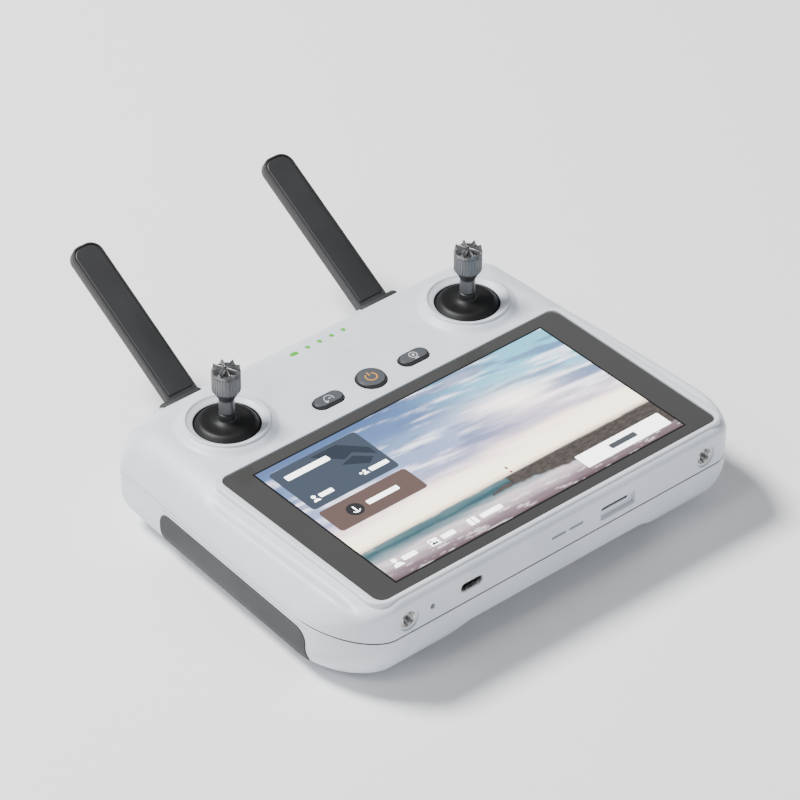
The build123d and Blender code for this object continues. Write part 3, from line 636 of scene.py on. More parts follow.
def moulded(name, low, high, grain_mm, depth_mm, roughness, spread=0.06, blotch_mm=18.0, **sockets):
    """Moulded or cast surface: a fine grain in relief, with gentle changes of colour and gloss."""
    pattern = ((grain_mm, 3.0, EVEN), (blotch_mm, 2.0, EVEN))
    return textured(name, pattern, (low, high), roughness, spread, (1.0, depth_mm), **sockets)


def machined(name, low, high, roughness):
    """Turned or drawn metal: fine lines 1.2 mm apart along one way, with a slight change of gloss.

    The real lines are about a tenth of that, and are drawn coarser so that they show.
    """
    pattern = ((1.2, 4.0, (1.0, 1.0, 12.0)),)
    return textured(name, pattern, (low, high), roughness, 0.07, (0.5, 0.01), Metallic=1.0)


FINISH = {}


def make_finishes():
    """Every finish on the controller, named for its real material and how it was made."""
    colours = bpy.context.scene.controller_colours
    # Injection-moulded polycarbonate/ABS with a fine spark-eroded texture: an even, soft satin.
    FINISH["shell"] = moulded("moulded_pc_abs_satin", "D0D7DE", colours.shell, 0.35, 0.012, 0.42, IOR=1.55)
    # Compression-moulded silicone rubber: matt, slightly uneven, with hardly any highlight.
    FINISH["pad"] = moulded("moulded_silicone_rubber", "393A3C", colours.pad, 0.5, 0.03, 0.72, IOR=1.43)
    # Moulded glass-filled nylon: dull charcoal with a faint grain.
    FINISH["antenna"] = moulded("moulded_nylon_matt", "242425", colours.antenna, 0.4, 0.02, 0.55, IOR=1.53)
    # Rubber-painted ABS key tops: soft dark grey.
    FINISH["key"] = moulded("soft_touch_key_paint", "43464A", colours.key, 0.3, 0.01, 0.5, IOR=1.5)
    # Moulded acetal dome: black with a low sheen from rubbing.
    FINISH["dome"] = moulded(
        "moulded_acetal_black", "0B0B0C", "121213", 0.6, 0.01, 0.5, IOR=1.48, Specular_IOR_Level=0.3)
    # Black moulded ABS.
    FINISH["black"] = moulded("moulded_abs_black", "141415", "1C1C1D", 0.4, 0.012, 0.45, IOR=1.52)
    # Bead-blasted, clear-anodised aluminium, lathe turned: cool grey with fine turning lines.
    FINISH["knob"] = machined("turned_anodised_aluminium", "6E6E6F", colours.knob, 0.4)
    # Turned free-cutting steel.
    FINISH["steel"] = machined("turned_steel", "8C8D8F", "B4B5B6", 0.3)
    # Nickel-plated brass insert: bright, slightly warm.
    FINISH["insert"] = machined("nickel_plated_brass", "A9A7A1", "D2D0CA", 0.24)
    # Deep-drawn stainless sheet.
    FINISH["sheet"] = machined("drawn_stainless_sheet", "8E9092", "B9BBBD", 0.28)
    # Glass-epoxy circuit board with green solder mask.
    FINISH["board"] = moulded("glass_epoxy_solder_mask", "0F4A2A", "17603A", 0.8, 0.02, 0.35, IOR=1.55)
    # Heat-shrunk PVC film.
    FINISH["wrap"] = moulded("shrunk_pvc_film", "1E3F7A", "284F92", 3.0, 0.05, 0.28, IOR=1.53)
    # Brushed magnesium chassis plate.
    FINISH["chassis"] = machined("die_cast_magnesium", "6E7072", "8A8C8E", 0.45)
    # Screen-printed white ink.
    FINISH["ink"] = moulded("screen_printed_white_ink", "C9CCCF", "DEE1E4", 0.3, 0.004, 0.5, IOR=1.5)
    # Charge lights: tinted acrylic light pipes, lit from below.
    green, _, shader = surface("lit_acrylic_green", Roughness=0.35, Emission_Strength=0.35)
    shader.inputs["Base Color"].default_value = linear(colours.light)
    shader.inputs["Emission Color"].default_value = linear("4FBF35")
    FINISH["light"] = green


# ---- Case ----------------------------------------------------------------------------
SIDES = (("right", 1), ("left", -1))


def glass_shape(gap):
    """Outline of the cover glass, grown by gap."""
    half = (GLASS_HIGH - GLASS_LOW) / 2 / MM
    x, y = half.x + gap, half.y + gap
    return plate_shape(-x, x, -y, y, 3.5 + gap)


def both(obj):
    """The object and its mirror image, joined."""
    return join(obj.name, [mirror(obj, obj.name + "_twin"), obj])


def case_outline(inset):
    """Closed outline of the case at the parting line."""
    half = [point for point, _ in ring_points(inset, inset, inset, FRONT_CORNER, REAR_CORNER)]
    return [(p.x, p.y) for p in half] + [(-p.x, p.y) for p in reversed(half[1:-1])]


PAD_WINDOW = (-19.0, 56.5, -32.5, -17.0, 4.5)     # front, rear, low, high and corner radius


def dome_room(radius):
    """Ring that the dome swings through, round its pivot under the well's edge."""
    inner = 10.5
    last = math.degrees(math.acos(inner / radius))
    return lathe([(inner, DOME_PIVOT_Z)] + arc(0, DOME_PIVOT_Z, radius, 0, last, 16), STICK.x, STICK.y, 96)


class CONTROLLER_OT_upper_case(bpy.types.Operator):
    """Builds the upper shell with its collars, openings and screen lip"""

    bl_idname = "controller.upper_case"
    bl_label = "Upper Case"

    def execute(self, context):
        edge = context.scene.controller_sizes.edge_break
        shell = upper_form()
        lip = stack(plate_shape(-74.2, 74.2, FRONT_Y + 2.0, 41.95, 6.0), cap(-2.0, RIM_Z, 0.55))
        collar = lathe([
            (9.0, -4.0), (17.6, -4.0), (17.6, -0.2), (17.0, 0.02), (16.4, 0.3), (15.8, 0.72), (15.2, 1.2),
            (14.7, 1.52), (14.35, 1.62), (14.25, 1.75), (14.2, 2.2), (14.08, 2.4), (13.85, 2.5), (13.6, 2.5),
            (13.4, 2.4), (13.25, 2.15), (12.6, 1.75), (11.7, 1.3), (11.35, 1.1), (11.1, 0.8), (9.0, 0.8),
        ], STICK.x, STICK.y, 128)
        combine(shell, [lip, both(collar)], "UNION")
        combine(shell, [upper_form(WALL)])
        cuts = [
            stack(glass_shape(0.1), flare(-1.1, RIM_Z, 0.2)),
            stack(plate_shape(-64.5, 64.5, -37.2, 37.2, 1.0), [(-6, 0), (0, 0)]),
            stack(disc_shape(0, POWER.y, 5.4), flare(-4, TOP_Z, edge)),
            stack(pill_shape(BAR_LIGHT_X, LIGHT_Y, 3.3, 1.7), flare(-4, TOP_Z, 0.1)),
        ]
        cuts += [stack(disc_shape(x, LIGHT_Y, 0.85, 24), flare(-4, TOP_Z, 0.1)) for x in DOT_LIGHTS_X]
        twins = [
            stack(disc_shape(STICK.x, STICK.y, 11.2, 96), [(-6, 0), (4, 0)]),
            dome_room(DOME_R + 0.4),
            stack(pill_shape(PILL.x, PILL.y, 12.0, 6.4), flare(-4, TOP_Z, edge)),
            stack(disc_shape(INSERT_X, INSERT_Z, 3.85, 64), flare(FRONT_Y + 0.7, FRONT_Y, 0.15), "y"),
            stack(disc_shape(INSERT_X, INSERT_Z, 2.82, 64), [(FRONT_Y - 1, 0), (FRONT_Y + 12, 0)], "y"),
            rod(DIAL_X - 2.8, DIAL_X + 2.8, DIAL.y, DIAL.z, DIAL_R + 0.3),
            stack(disc_shape(TRIGGER_X, TRIGGER_Z, 3.3), flare(79.5, REAR_Y - 0.2, 0.3, 5.0), "y"),
        ]
        cuts += [both(twin) for twin in twins]
        cuts += [
            stack(disc_shape(-53.4, -8.4, 1.0, 32), flare(FRONT_Y + 3, FRONT_Y, 0.15), "y"),
            stack(pill_shape(USB_X, USB_Z, 9.14, 3.4), flare(FRONT_Y + 8, FRONT_Y, 0.3), "y"),
            stack(plate_shape(17.1, 31.9, -11.6, -6.7, 0.8), flare(FRONT_Y + 1.5, FRONT_Y, 0.3), "y"),
            stack(plate_shape(18.0, 29.8, -9.3, -7.8, 0.2), [(FRONT_Y, 0), (FRONT_Y + 6, 0)], "y"),
            *[stack(pill_shape(x, -7.8, 6.2, 1.0), flare(FRONT_Y + 4, FRONT_Y, 0.15), "y")
              for x in (-1.0, 6.4)],
        ]
        combine(shell, cuts)
        # Black band laid in the parting-line groove: painted shade for the dark line that the groove's shadow
        # draws round the case.
        shade_band = combine(prism(case_outline(0.08), PARTING_Z - 0.25, PARTING_Z + 0.25),
                         [prism(case_outline(1.8), PARTING_Z - 1, PARTING_Z + 1)])
        shade_band.name = "seam_gasket"
        finish_piece(shade_band, "case", FINISH["black"])
        cut_piece("upper_case", shell, "case", "shell", ["upper_shell"])
        return {"FINISHED"}


def finger_space(grow=0.0):
    """Space between the grips, run along the case, with its edges rounded."""
    top = FLOOR_Z + grow
    slope = 19.0 / 12.0
    foot = 37.0 + grow + (top - GRIP_Z) * slope
    outline = corners_rounded([
        (-37.0 - grow, top, 7.0), (37.0 + grow, top, 7.0), (foot, GRIP_Z, -1), (foot, GRIP_Z - 5, 0),
        (-foot, GRIP_Z - 5, 0), (-foot, GRIP_Z, -1)])
    return prism(outline, FRONT_Y - 30, REAR_Y + 30, "y")


def soft_recess():
    """The finger space with a flared foot, so that the grips' inner edges are round."""
    foot, flare_r = 56.0, 5.0
    half = [(37.0, FLOOR_Z, 7.0), (foot, GRIP_Z + 0.001, flare_r), (foot + 9.0, GRIP_Z + 0.0005, 0),
            (foot + 9.0, GRIP_Z - 5, 0)]
    outline = corners_rounded(half + [(-x, z, r) for x, z, r in reversed(half)])
    return prism(outline, FRONT_Y - 30, REAR_Y + 30, "y")


def lower_form(inset=0.0):
    start = PARTING_Z if inset <= 0 else PARTING_Z + 3.0
    return skin(
        (20.0, 13.0, 27.0), (20.0, 13.0, 19.0), ((10.0, 14.0), (12.0, 12.0)), start, GRIP_Z, inset)


class CONTROLLER_OT_lower_case(bpy.types.Operator):
    """Builds the lower shell with the grips, the pads and the antenna ears"""

    bl_idname = "controller.lower_case"
    bl_label = "Lower Case and Pads"

    def execute(self, context):
        shell = combine(lower_form(), [soft_recess()])
        inside = combine(lower_form(WALL), [finger_space(WALL)])
        combine(shell, [inside])
        window = stack(plate_shape(*PAD_WINDOW), [(40.0, 0), (100.0, 0)], "x")
        pad = combine(combine(lower_form(-0.25), [window], "INTERSECT"), [lower_form(1.15)])
        pocket = stack(plate_shape(*PAD_WINDOW), [(40.0, 0.22), (100.0, 0.22)], "x")
        combine(pocket, [lower_form(1.2)])
        combine(shell, [both(pocket)])
        line = stack(
            plate_shape(-20.0, 55.5, PARTING_Z - 2.2, PARTING_Z - 1.7, 0.1), [(40.0, 0), (100.0, 0)], "x")
        combine(line, [lower_form(0.6)])
        combine(shell, [both(line)])
        ear = corners_rounded([
            (REAR_Y - 3.0, PARTING_Z - 0.1, 0), (REAR_Y + 3.0, PARTING_Z - 0.1, 2.0),
            (HINGE.y + 2.5, HINGE.z + 2.5, 2.49), (HINGE.y + 2.5, HINGE.z - 2.5, 2.49),
            (REAR_Y + 3.0, HINGE.z - 5.0, 3.0), (REAR_Y - 3.0, FLOOR_Z + 2.0, 0)])
        ears = [both(prism(ear, x, x + 3.0, "x")) for x in (31.8, 50.4)]
        combine(shell, [combine(pair, [lower_form(0.6)]) for pair in ears], "UNION")
        combine(shell, [both(stack(disc_shape(x, y, 2.2, 32), [(-45, 0), (-20, 0)])) for x, y in REAR_BOLTS])
        cut_piece("lower_case", shell, "case", "shell", ["lower_shell"])
        pad.name = "right_pad"
        shade(tidy(pad, FINE), 32.0)
        twin = mirror(pad, "left_pad")
        finish_piece(pad, "case", FINISH["pad"], ["right_grip_pad"])
        finish_piece(twin, "case", FINISH["pad"], ["left_grip_pad"])
        return {"FINISHED"}


# ---- Stage -----------------------------------------------------------------------------
CAMERA_ANGLES = (-40.954, 37.244, 0.499)     # azimuth, elevation and roll in degrees
CAMERA_PLACE = (-692.2, -762.8, 802.6)       # millimetres from ZERO
CAMERA_LENS = 184.1
# Each lamp's name, place and size in metres, and power in watts.
LAMPS = (
    ("key", (-0.6, 0.75, 1.55), 0.55, 70.0),
    ("side_strip", (-1.2, -0.2, 1.3), 0.5, 6.0),
    ("front_fill", (0.5, -1.6, 0.8), 1.0, 4.0),
)


class CONTROLLER_OT_stage(bpy.types.Operator):
    """Sets the pale floor, the studio lights and the camera"""

    bl_idname = "controller.stage"
    bl_label = "Stage, Lights and Camera"

    def execute(self, context):
        floor = make("floor", [(-4, -4, 0), (4, -4, 0), (4, 4, 0), (-4, 4, 0)], [[0, 1, 2, 3]])
        paper, _, shader = surface("matt_pale_paper", Roughness=0.9)
        shader.inputs["Base Color"].default_value = (0.93, 0.93, 0.935, 1)
        floor.data.materials.append(paper)
        world = bpy.data.worlds.new("studio")
        world.use_nodes = True
        world.node_tree.nodes["Background"].inputs[0].default_value = (0.93, 0.96, 1.0, 1)
        world.node_tree.nodes["Background"].inputs[1].default_value = 0.34
        context.scene.world = world
        aim = Vector((0, 0, 0.02))
        for name, place, size, power in LAMPS:
            lamp = bpy.data.lights.new(name, "AREA")
            lamp.shape, lamp.size, lamp.energy = "DISK", size, power
            holder = bpy.data.objects.new(name, lamp)
            holder.location = place
            holder.rotation_euler = (Vector(place) - aim).to_track_quat("Z", "Y").to_euler()
            context.scene.collection.objects.link(holder)
        azimuth, elevation, roll = (math.radians(angle) for angle in CAMERA_ANGLES)
        level = math.cos(elevation)
        back = Vector((math.sin(azimuth) * level, -math.cos(azimuth) * level, math.sin(elevation)))
        right = Vector((math.cos(azimuth), math.sin(azimuth), 0))
        up = back.cross(right)
        right, up = right * math.cos(roll) + up * math.sin(roll), up * math.cos(roll) - right * math.sin(roll)
        lens = bpy.data.cameras.new("camera")
        lens.lens, lens.sensor_width = CAMERA_LENS, 36.0
        holder = bpy.data.objects.new("camera", lens)
        turn = Matrix((right, up, back)).transposed().to_4x4()
        holder.matrix_world = Matrix.Translation(ZERO + Vector(CAMERA_PLACE) * MM) @ turn
        context.scene.collection.objects.link(holder)
        context.scene.camera = holder
        return {"FINISHED"}


# ---- Screen --------------------------------------------------------------------------
def colour_mix(low, high, share):
    share = min(max(share, 0.0), 1.0)
    return tuple(mix(a, b, share) for a, b in zip(low, high))


def ramp(stops, value):
    """Colour at a value along (value, hex) stops."""
    if value <= stops[0][0]:
        return linear(stops[0][1])
    for (v0, c0), (v1, c1) in zip(stops, stops[1:]):
        if value <= v1:
            return colour_mix(linear(c0), linear(c1), (value - v0) / (v1 - v0))
    return linear(stops[-1][1])


def wisps(x, y, stretch, size, seed):
    """Cloud-like noise from 0 to 1, drawn out along x."""
    return 0.5 + 0.5 * noise.fractal(Vector((x / (size * stretch), y / size, seed)), 0.9, 2.0, 4)


SKY = ((-17.5, "E6C9B8"), (-15.5, "FFF3D6"), (-10.0, "FFF4DC"), (-6.0, "EFD9DA"), (0.0, "B3B3D6"),
       (7.0, "9DB0DA"), (16.0, "8FADD8"), (25.0, "6E8FC4"), (34.0, "5B7CB4"))
SEA = ((-34.5, "6B555C"), (-31.5, "94808A"), (-28.5, "C4B4BC"), (-25.5, "D2C6CD"), (-22.5, "7F99A2"),
       (-20.5, "33606C"), (-18.0, "6A8C94"), (-17.4, "D2C4B8"))


def sky(x, y):
    """Dusk sky with drawn-out clouds and a glow on the right."""
    slant = y + 0.12 * x
    drift = wisps(x, slant, 7.0, 9.0, 1.0)
    colour = ramp(SKY, y + 12.0 * (drift - 0.5) * smooth_step(-16, -4, y))
    cyan = smooth_step(2, 40, x + 0.6 * y - 8) * smooth_step(8, 24, y + 0.1 * x)
    colour = colour_mix(colour, linear("7FD3EA"), 0.8 * cyan)
    streak = smooth_step(0.5, 0.78, wisps(x, slant, 9.0, 4.0, 7.0)) * smooth_step(-12, 0, y)
    colour = colour_mix(colour, linear("F1ECF6"), 0.75 * streak)
    glow = math.exp(-((x - 29) / 19) ** 2 - ((slant - 14.0) / 7.5) ** 2)
    colour = colour_mix(colour, linear("FFEDE8"), 1.0 * glow)
    dark = smooth_step(0.52, 0.72, wisps(x, slant, 8.0, 5.0, 3.0)) * smooth_step(-6, 6, y) * (1 - glow)
    return colour_mix(colour, linear("6A7CB0"), 0.6 * dark)


def sea(x, y):
    """Flat water with thin waves, darker towards the bottom left."""
    ripple = wisps(x, y + 0.05 * x, 10.0, 1.6, 5.0)
    colour = ramp(SEA, y + 2.2 * (ripple - 0.5))
    foam = smooth_step(0.62, 0.75, wisps(x, y + 0.1 * x, 8.0, 1.3, 9.0)) * smooth_step(-23, -29, y)
    return colour_mix(colour, linear("E9DFE6"), 0.6 * foam)


def headland_top(x):
    if x < -10:
        return -99.0
    ragged = 0.7 * wisps(x, 0, 1.0, 2.2, 11.0)
    if x < -1.4:
        return -21.4 + 0.9 * smooth_step(-10, -4, x) + ragged
    return -17.6 + 0.25 * ragged - 0.3 * smooth_step(20, 60, x)


def headland_foot(x):
    return -22.3 - 8.5 * smooth_step(-4, 62, x) ** 0.8 - 1.2 * wisps(x, 0, 1.0, 4.0, 13.0)


def glare(colour):
    """The same colour with its light parts brighter, as a backlight gives them."""
    light = 0.21 * colour[0] + 0.72 * colour[1] + 0.07 * colour[2]
    return tuple(value * (0.95 + 2.4 * light * light) for value in colour)


def picture(x, y):
    colour = sky(x, y) if y > -17.4 else sea(x, y)
    top, foot = headland_top(x), headland_foot(x)
    if foot < y < top:
        rock = ramp(((0.3, "4A4340"), (0.5, "544D49"), (0.7, "5F5752")), wisps(x, y, 3.0, 0.9, 15.0))
        edge = min(smooth_step(0, 0.4, top - y), smooth_step(0, 1.2, y - foot))
        colour = colour_mix(colour, rock, edge)
    return glare(colour)


def painted_screen():
    """Fine grid over the lit area that carries the picture as a colour on each corner."""
    columns, rows = 244, 137
    half_x, half_y = 60.9, 34.25
    vertices, faces, colours = [], [], []
    for row in range(rows + 1):
        for column in range(columns + 1):
            x = mix(-half_x, half_x, column / columns)
            y = mix(-half_y, half_y, row / rows)
            vertices.append((x, y, SCREEN_Z))
            colours.append(picture(x, y))
    for row in range(rows):
        for column in range(columns):
            first = row * (columns + 1) + column
            faces.append([first, first + 1, first + columns + 2, first + columns + 1])
    obj = make("screen_picture", vertices, faces)
    layer = obj.data.color_attributes.new("lit_colour", "FLOAT_COLOR", "POINT")
    layer.data.foreach_set("color", [value for colour in colours for value in colour])
    return obj


SCREEN_Z = 0.03
ICON_Z = 0.06


def lit(name, code, strength=1.2):
    """One colour of the lit display behind the cover glass."""
    material, _, shader = surface(name, Roughness=0.16, Specular_IOR_Level=0.3, Emission_Strength=strength)
    shader.inputs["Base Color"].default_value = (0.01, 0.01, 0.01, 1)
    shader.inputs["Emission Color"].default_value = linear(code)
    return material


def band_outline(cx, cy, inner, outer, start, end, steps=32):
    """Outline of an arc of a ring."""
    return arc(cx, cy, outer, start, end, steps) + arc(cx, cy, inner, end, start, steps)


def bar(x0, x1, y, height):
    return rounded(x0, x1, y - height / 2, y + height / 2, height * 0.2, 3)


class CONTROLLER_OT_screen(bpy.types.Operator):
    """Builds the cover glass with its printed border and the lit picture and panels"""

    bl_idname = "controller.screen"
    bl_label = "Screen"

    def execute(self, context):
        # Chemically strengthened glass over a black ink border: deep, glossy and nearly colourless.
        glass = moulded("ink_backed_cover_glass", "3A3A39", "3D3D3C", 40.0, 0.0, 0.13, 0.01, 60.0, IOR=1.51)
        pane = stack(glass_shape(0.0), [(-1.1, -0.1), (-1.0, 0.0), *cap(-0.9, 0.0, 0.3)[1:]])
        pane.name = "cover_glass"
        shade(pane)
        finish_piece(pane, "case", glass, ["screen_glass"])
        image = painted_screen()
        # A lit display: light from behind, under the glass's own soft reflections.
        material = lit("lit_picture", "FFFFFF", 1.35)
        tree = material.node_tree
        colour = add_node(tree, "ShaderNodeAttribute", {"attribute_name": "lit_colour"})
        tree.links.new(colour.outputs["Color"], tree.nodes["Principled BSDF"].inputs["Emission Color"])
        finish_piece(image, "case", material)
        self.panels()
        return {"FINISHED"}

    def panels(self):
        ink, white = lit("unlit_edge", "050505", 0.2), lit("white_symbols", "FFFFFF", 4.5)
        slate, brown = lit("slate_panel", "4A5768"), lit("brown_panel", "77605B")
        deep, grey = lit("dark_badge", "2E2F33"), lit("grey_bars", "5A6066")
        hill, red = lit("dark_thumbnail", "2F3A4A"), lit("red_tower", "B4574C")
        low, high = ICON_Z, ICON_Z + 0.02
        shapes = [
            (rounded(-61.6, 61.6, -34.95, 34.95, 0.3), 0.005, 0.015, ink),
            (rounded(-58.1, -22.5, 8.4, 31.4, 1.4), low, high, slate),
            (rounded(-58.1, -22.5, -5.4, 6.7, 1.4), low, high, brown),
            (rounded(22.5, 58.7, -31.2, -24.2, 0.5), low, high, white),
            (bar(34.9, 46.1, -27.7, 2.4), high, high + 0.02, grey),
            (circle(-47.8, 0.6, 3.0), high, high + 0.02, deep),
            (rounded(1.9, 2.6, -17.2, -16.0, 0.05, 2), low, high, red),
            (rounded(1.95, 2.55, -16.0, -15.2, 0.05, 2), low, high, white),
            (rounded(1.95, 2.55, -15.2, -14.5, 0.05, 2), low, high, red),
            (rounded(1.7, 2.8, -14.5, -14.2, 0.05, 2), low, high, hill),
            (rounded(2.0, 2.5, -14.2, -13.5, 0.1, 2), low, high, hill),
            ([(-42.0, 29.8), (-31.5, 29.8), (-24.0, 22.0), (-24.0, 18.0), (-30.0, 23.5), (-34.0, 22.0)],
             high, high + 0.02, hill),
            ([(-36.5, 20.5), (-31.0, 22.0), (-26.0, 17.5), (-29.0, 15.5)], high, high + 0.02, hill),
        ]
        bars = [(-54.9, -37.4, 26.2, 2.6), (-52.1, -46.6, 12.9, 2.0), (-31.4, -23.9, 12.9, 2.0),
                (-42.9, -30.1, 0.6, 2.2), (-52.4, -46.8, -27.5, 2.1), (-36.4, -31.0, -27.5, 2.1),
                (-20.2, -11.4, -27.5, 2.1)]
        marks = [bar(*place) for place in bars]
        for x in (-55.1, -54.0):
            marks.append(circle(x, -26.5 if x < -55 else 13.7, 1.0 if x < -55 else 0.8, 20))
        marks += [
            arc(-55.1, -29.7, 1.9, 0, 180, 12), arc(-54.0, 11.2, 1.3, 0, 180, 12),
            circle(-33.2, 13.5, 0.65, 16), arc(-33.2, 11.9, 1.1, 0, 180, 12), circle(-34.8, 13.3, 0.5, 16),
            rounded(-48.1, -47.5, -0.9, 2.2, 0.2, 3), band_outline(-47.8, 0.4, 1.2, 1.6, 200, 340, 12),
        ]
        for x in (-41.4, -25.3):
            marks.append(rounded(x, x + 3.6, -29.2, -25.9, 0.4, 4))
        shapes += [(mark, high + 0.02, high + 0.035, white) for mark in marks]
        shapes += [
            (circle(-40.5, -26.8, 0.4, 12), high + 0.035, high + 0.045, grey),
            ([(-41.0, -28.7), (-38.2, -28.7), (-38.9, -27.5), (-39.4, -28.0), (-40.1, -27.3)],
             high + 0.035, high + 0.045, grey),
            (rounded(-23.6, -23.3, -29.2, -25.9, 0.1, 2), high + 0.035, high + 0.045, grey),
        ]
        joined = assembled("screen_panels", [slab("mark", *shape) for shape in shapes])
        finish_piece(joined, "case", None)


def assembled(name, parts):
    """One object from parts that keep their own finishes."""
    finishes = []
    work = bmesh.new()
    for part in parts:
        start = len(work.faces)
        work.from_mesh(part.data)
        work.faces.ensure_lookup_table()
        finish = part.data.materials[0]
        if finish not in finishes:
            finishes.append(finish)
        for face in work.faces[start:]:
            face.material_index = finishes.index(finish)
    mesh = bpy.data.meshes.new(name)
    work.to_mesh(mesh)
    work.free()
    for finish in finishes:
        mesh.materials.append(finish)
    discard(*parts)
    return place_mesh(name, mesh)


def assembled_pair(name, obj):
    """A finished part with its mirror image, as one object."""
    twin = mirror(obj, "twin")
    rework(obj, lambda work: work.from_mesh(twin.data))
    discard(twin)
    obj.name = name
    return obj


def finished(obj, key, angle=32.0):
    """Sets a finish on a part before it is assembled."""
    obj.data.materials.clear()
    obj.data.materials.append(FINISH[key])
    return shade(obj, angle)


def placed(obj, x=0.0, y=0.0, z=0.0):
    obj.data.transform(Matrix.Translation((x, y, z)))
    return obj


# ---- Sticks --------------------------------------------------------------------------
class CONTROLLER_OT_sticks(bpy.types.Operator):
    """Builds the fluted knobs with star tops and the domes under them"""

    bl_idname = "controller.sticks"
    bl_label = "Sticks"

    def execute(self, context):
        sizes = context.scene.controller_sizes
        for side, sign in SIDES:
            core = lathe([
                (1.56, 5.75), (2.4, 5.75), (2.62, 5.95), (2.62, 10.7), (2.72, 11.2), (3.0, 11.8), (4.2, 14.0),
                (4.5, 14.5), (4.56, 14.8), (4.56, 20.7), (4.4, 20.85), (4.4, 21.05), (4.6, 21.15),
                (4.78, 21.35),
                (4.78, 21.55), (4.45, 21.9), (3.7, 21.9), (3.55, 21.7), (1.4, 21.55), (0.001, 21.55),
                (0.001, 18.95), (1.56, 18.95),
            ], 0, 0, 120)
            rib = stack(disc_shape(4.5, 0, 0.27, 10), [(14.35, -0.2), (14.7, 0), (20.55, 0), (20.8, -0.2)])
            ribs = repeated("ribs", rib, sizes.knob_flutes, turn=(0, 0, math.tau / sizes.knob_flutes))
            tooth = prism(
                corners_rounded([(-1.0, 21.5, 0), (1.0, 21.5, 0), (0.0, 23.6, 0.25)], 4), 0.35, 4.62, "x")
            tooth = soften(tooth, 0.12, 2)
            tooth.data.transform(Matrix.Rotation(math.pi / sizes.knob_teeth, 4, "Z"))
            teeth = repeated("teeth", tooth, sizes.knob_teeth, turn=(0, 0, math.tau / sizes.knob_teeth))
            parts = [finished(part, "knob") for part in (core, ribs, teeth)]
            knob = assembled(side + "_knob", parts)
            placed(knob, sign * STICK.x, STICK.y)
            finish_piece(knob, side + "_stick", None, [side + "_stick_knob"])
            finish_piece(self.dome(side, sign), side + "_stick", None, [side + "_stick_dome"])
        return {"FINISHED"}

    def dome(self, side, sign):
        outer = arc(0, DOME_PIVOT_Z, DOME_R, 18.0, 48.0, 15)
        inner = arc(0, DOME_PIVOT_Z, DOME_R - 0.8, 50.5, 18.0, 10)
        lip = [
            (9.1, 2.1), (8.6, 2.24), (8.0, 2.27), (7.2, 2.22), (6.2, 2.15), (5.0, 2.2), (4.0, 2.45), (3.3, 2.9)]
        under = [(2.8, 3.2), (1.56, 3.2), (1.56, 0.9), (6.4, 0.4)]
        skirt = lathe(outer + lip + under + inner, 0, 0, 128)
        boot = lathe([
            (1.56, 2.4), (3.1, 2.4), (3.15, 3.0), (2.9, 3.3), (2.82, 3.6), (2.85, 4.9), (2.75, 5.4),
            (2.5, 5.6),
            (1.56, 5.6),
        ], 0, 0, 64)
        dome = assembled(side + "_dome", [finished(skirt, "dome"), finished(boot, "black")])
        return placed(dome, sign * STICK.x, STICK.y)


# ---- Keys and lights --------------------------------------------------------------------
class CONTROLLER_OT_keys(bpy.types.Operator):
    """Builds the power key, the two pill keys and the charge lights"""

    bl_idname = "controller.keys"
    bl_label = "Keys and Lights"

    def execute(self, context):
        amber, _, shader = surface("lit_amber_icon", Roughness=0.4, Emission_Strength=0.5)
        shader.inputs["Base Color"].default_value = linear("C98A2B")
        shader.inputs["Emission Color"].default_value = linear("C98A2B")
        low, high = 1.0, 1.035
        y = POWER.y
        symbols = {
            "power_button": [
                (band_outline(0, y, 1.75, 2.15, 125, 415), amber),
                (rounded(-0.22, 0.22, y + 0.7, y + 2.6, 0.2, 4), amber)],
            "left_button": [
                (band_outline(-PILL.x, y - 0.2, 1.55, 1.78, -30, 210), FINISH["ink"]),
                ([(-PILL.x - 2.3, y - 0.9), (-PILL.x - 0.7, y - 0.9), (-PILL.x - 1.5, y - 1.9)],
                 FINISH["ink"]),
                (rounded(-PILL.x - 0.15, -PILL.x + 0.95, y - 0.3, y + 0.0, 0.1, 3), FINISH["ink"])],
            "right_button": [
                (band_outline(PILL.x, y + 0.2, 1.3, 1.55, 2, 358), FINISH["ink"]),
                (circle(PILL.x, y + 0.2, 0.5, 24), FINISH["ink"]),
                (rounded(PILL.x - 0.9, PILL.x + 0.9, y - 2.0, y - 1.7, 0.12, 3), FINISH["ink"])],
        }
        shapes = {
            "power_button": disc_shape(0, y, 5.1, 72),
            "left_button": pill_shape(-PILL.x, y, 11.4, 5.8),
            "right_button": pill_shape(PILL.x, y, 11.4, 5.8),
        }
        for node, outline in shapes.items():
            body = stack(outline, [(-3.1, 0.9), (-2.35, 0.9), (-2.3, 0.0), *cap(-2.2, 0.94, 0.45)[1:]])
            top = stack(outline, [(0.5, -0.75), (0.9, -0.5), (0.98, -0.62), (1.0, -0.9)])
            stem = stack(disc_shape(middle(node).x, y, 1.5, 24), [(-5.0, 0), (-3.1, 0)])
            parts = [finished(body, "black"), finished(top, "key"), finished(stem, "black")]
            parts += [slab("symbol", mark, low, high, ink) for mark, ink in symbols[node]]
            key = assembled(node.replace("button", "key"), parts)
            finish_piece(key, node, None, [node])
        lights = [stack(pill_shape(BAR_LIGHT_X, LIGHT_Y, 3.2, 1.6), cap(-2.0, 0.12, 0.3))]
        lights += [stack(disc_shape(x, LIGHT_Y, 0.8, 32), cap(-2.0, 0.12, 0.3)) for x in DOT_LIGHTS_X]
        guides = assembled("charge_lights", [finished(light, "light") for light in lights])
        finish_piece(guides, "case", None, ["led_light_guides"])
        return {"FINISHED"}


# ---- Antennas ---------------------------------------------------------------------------
def blade_shape(half, start, end, corner):
    def outline(offset):
        return corners_rounded([
            (-half - offset, start - offset, 0.3), (half + offset, start - offset, 0.3),
            (half + offset, end + offset, corner + offset), (-half - offset, end + offset, corner + offset)])
    return outline


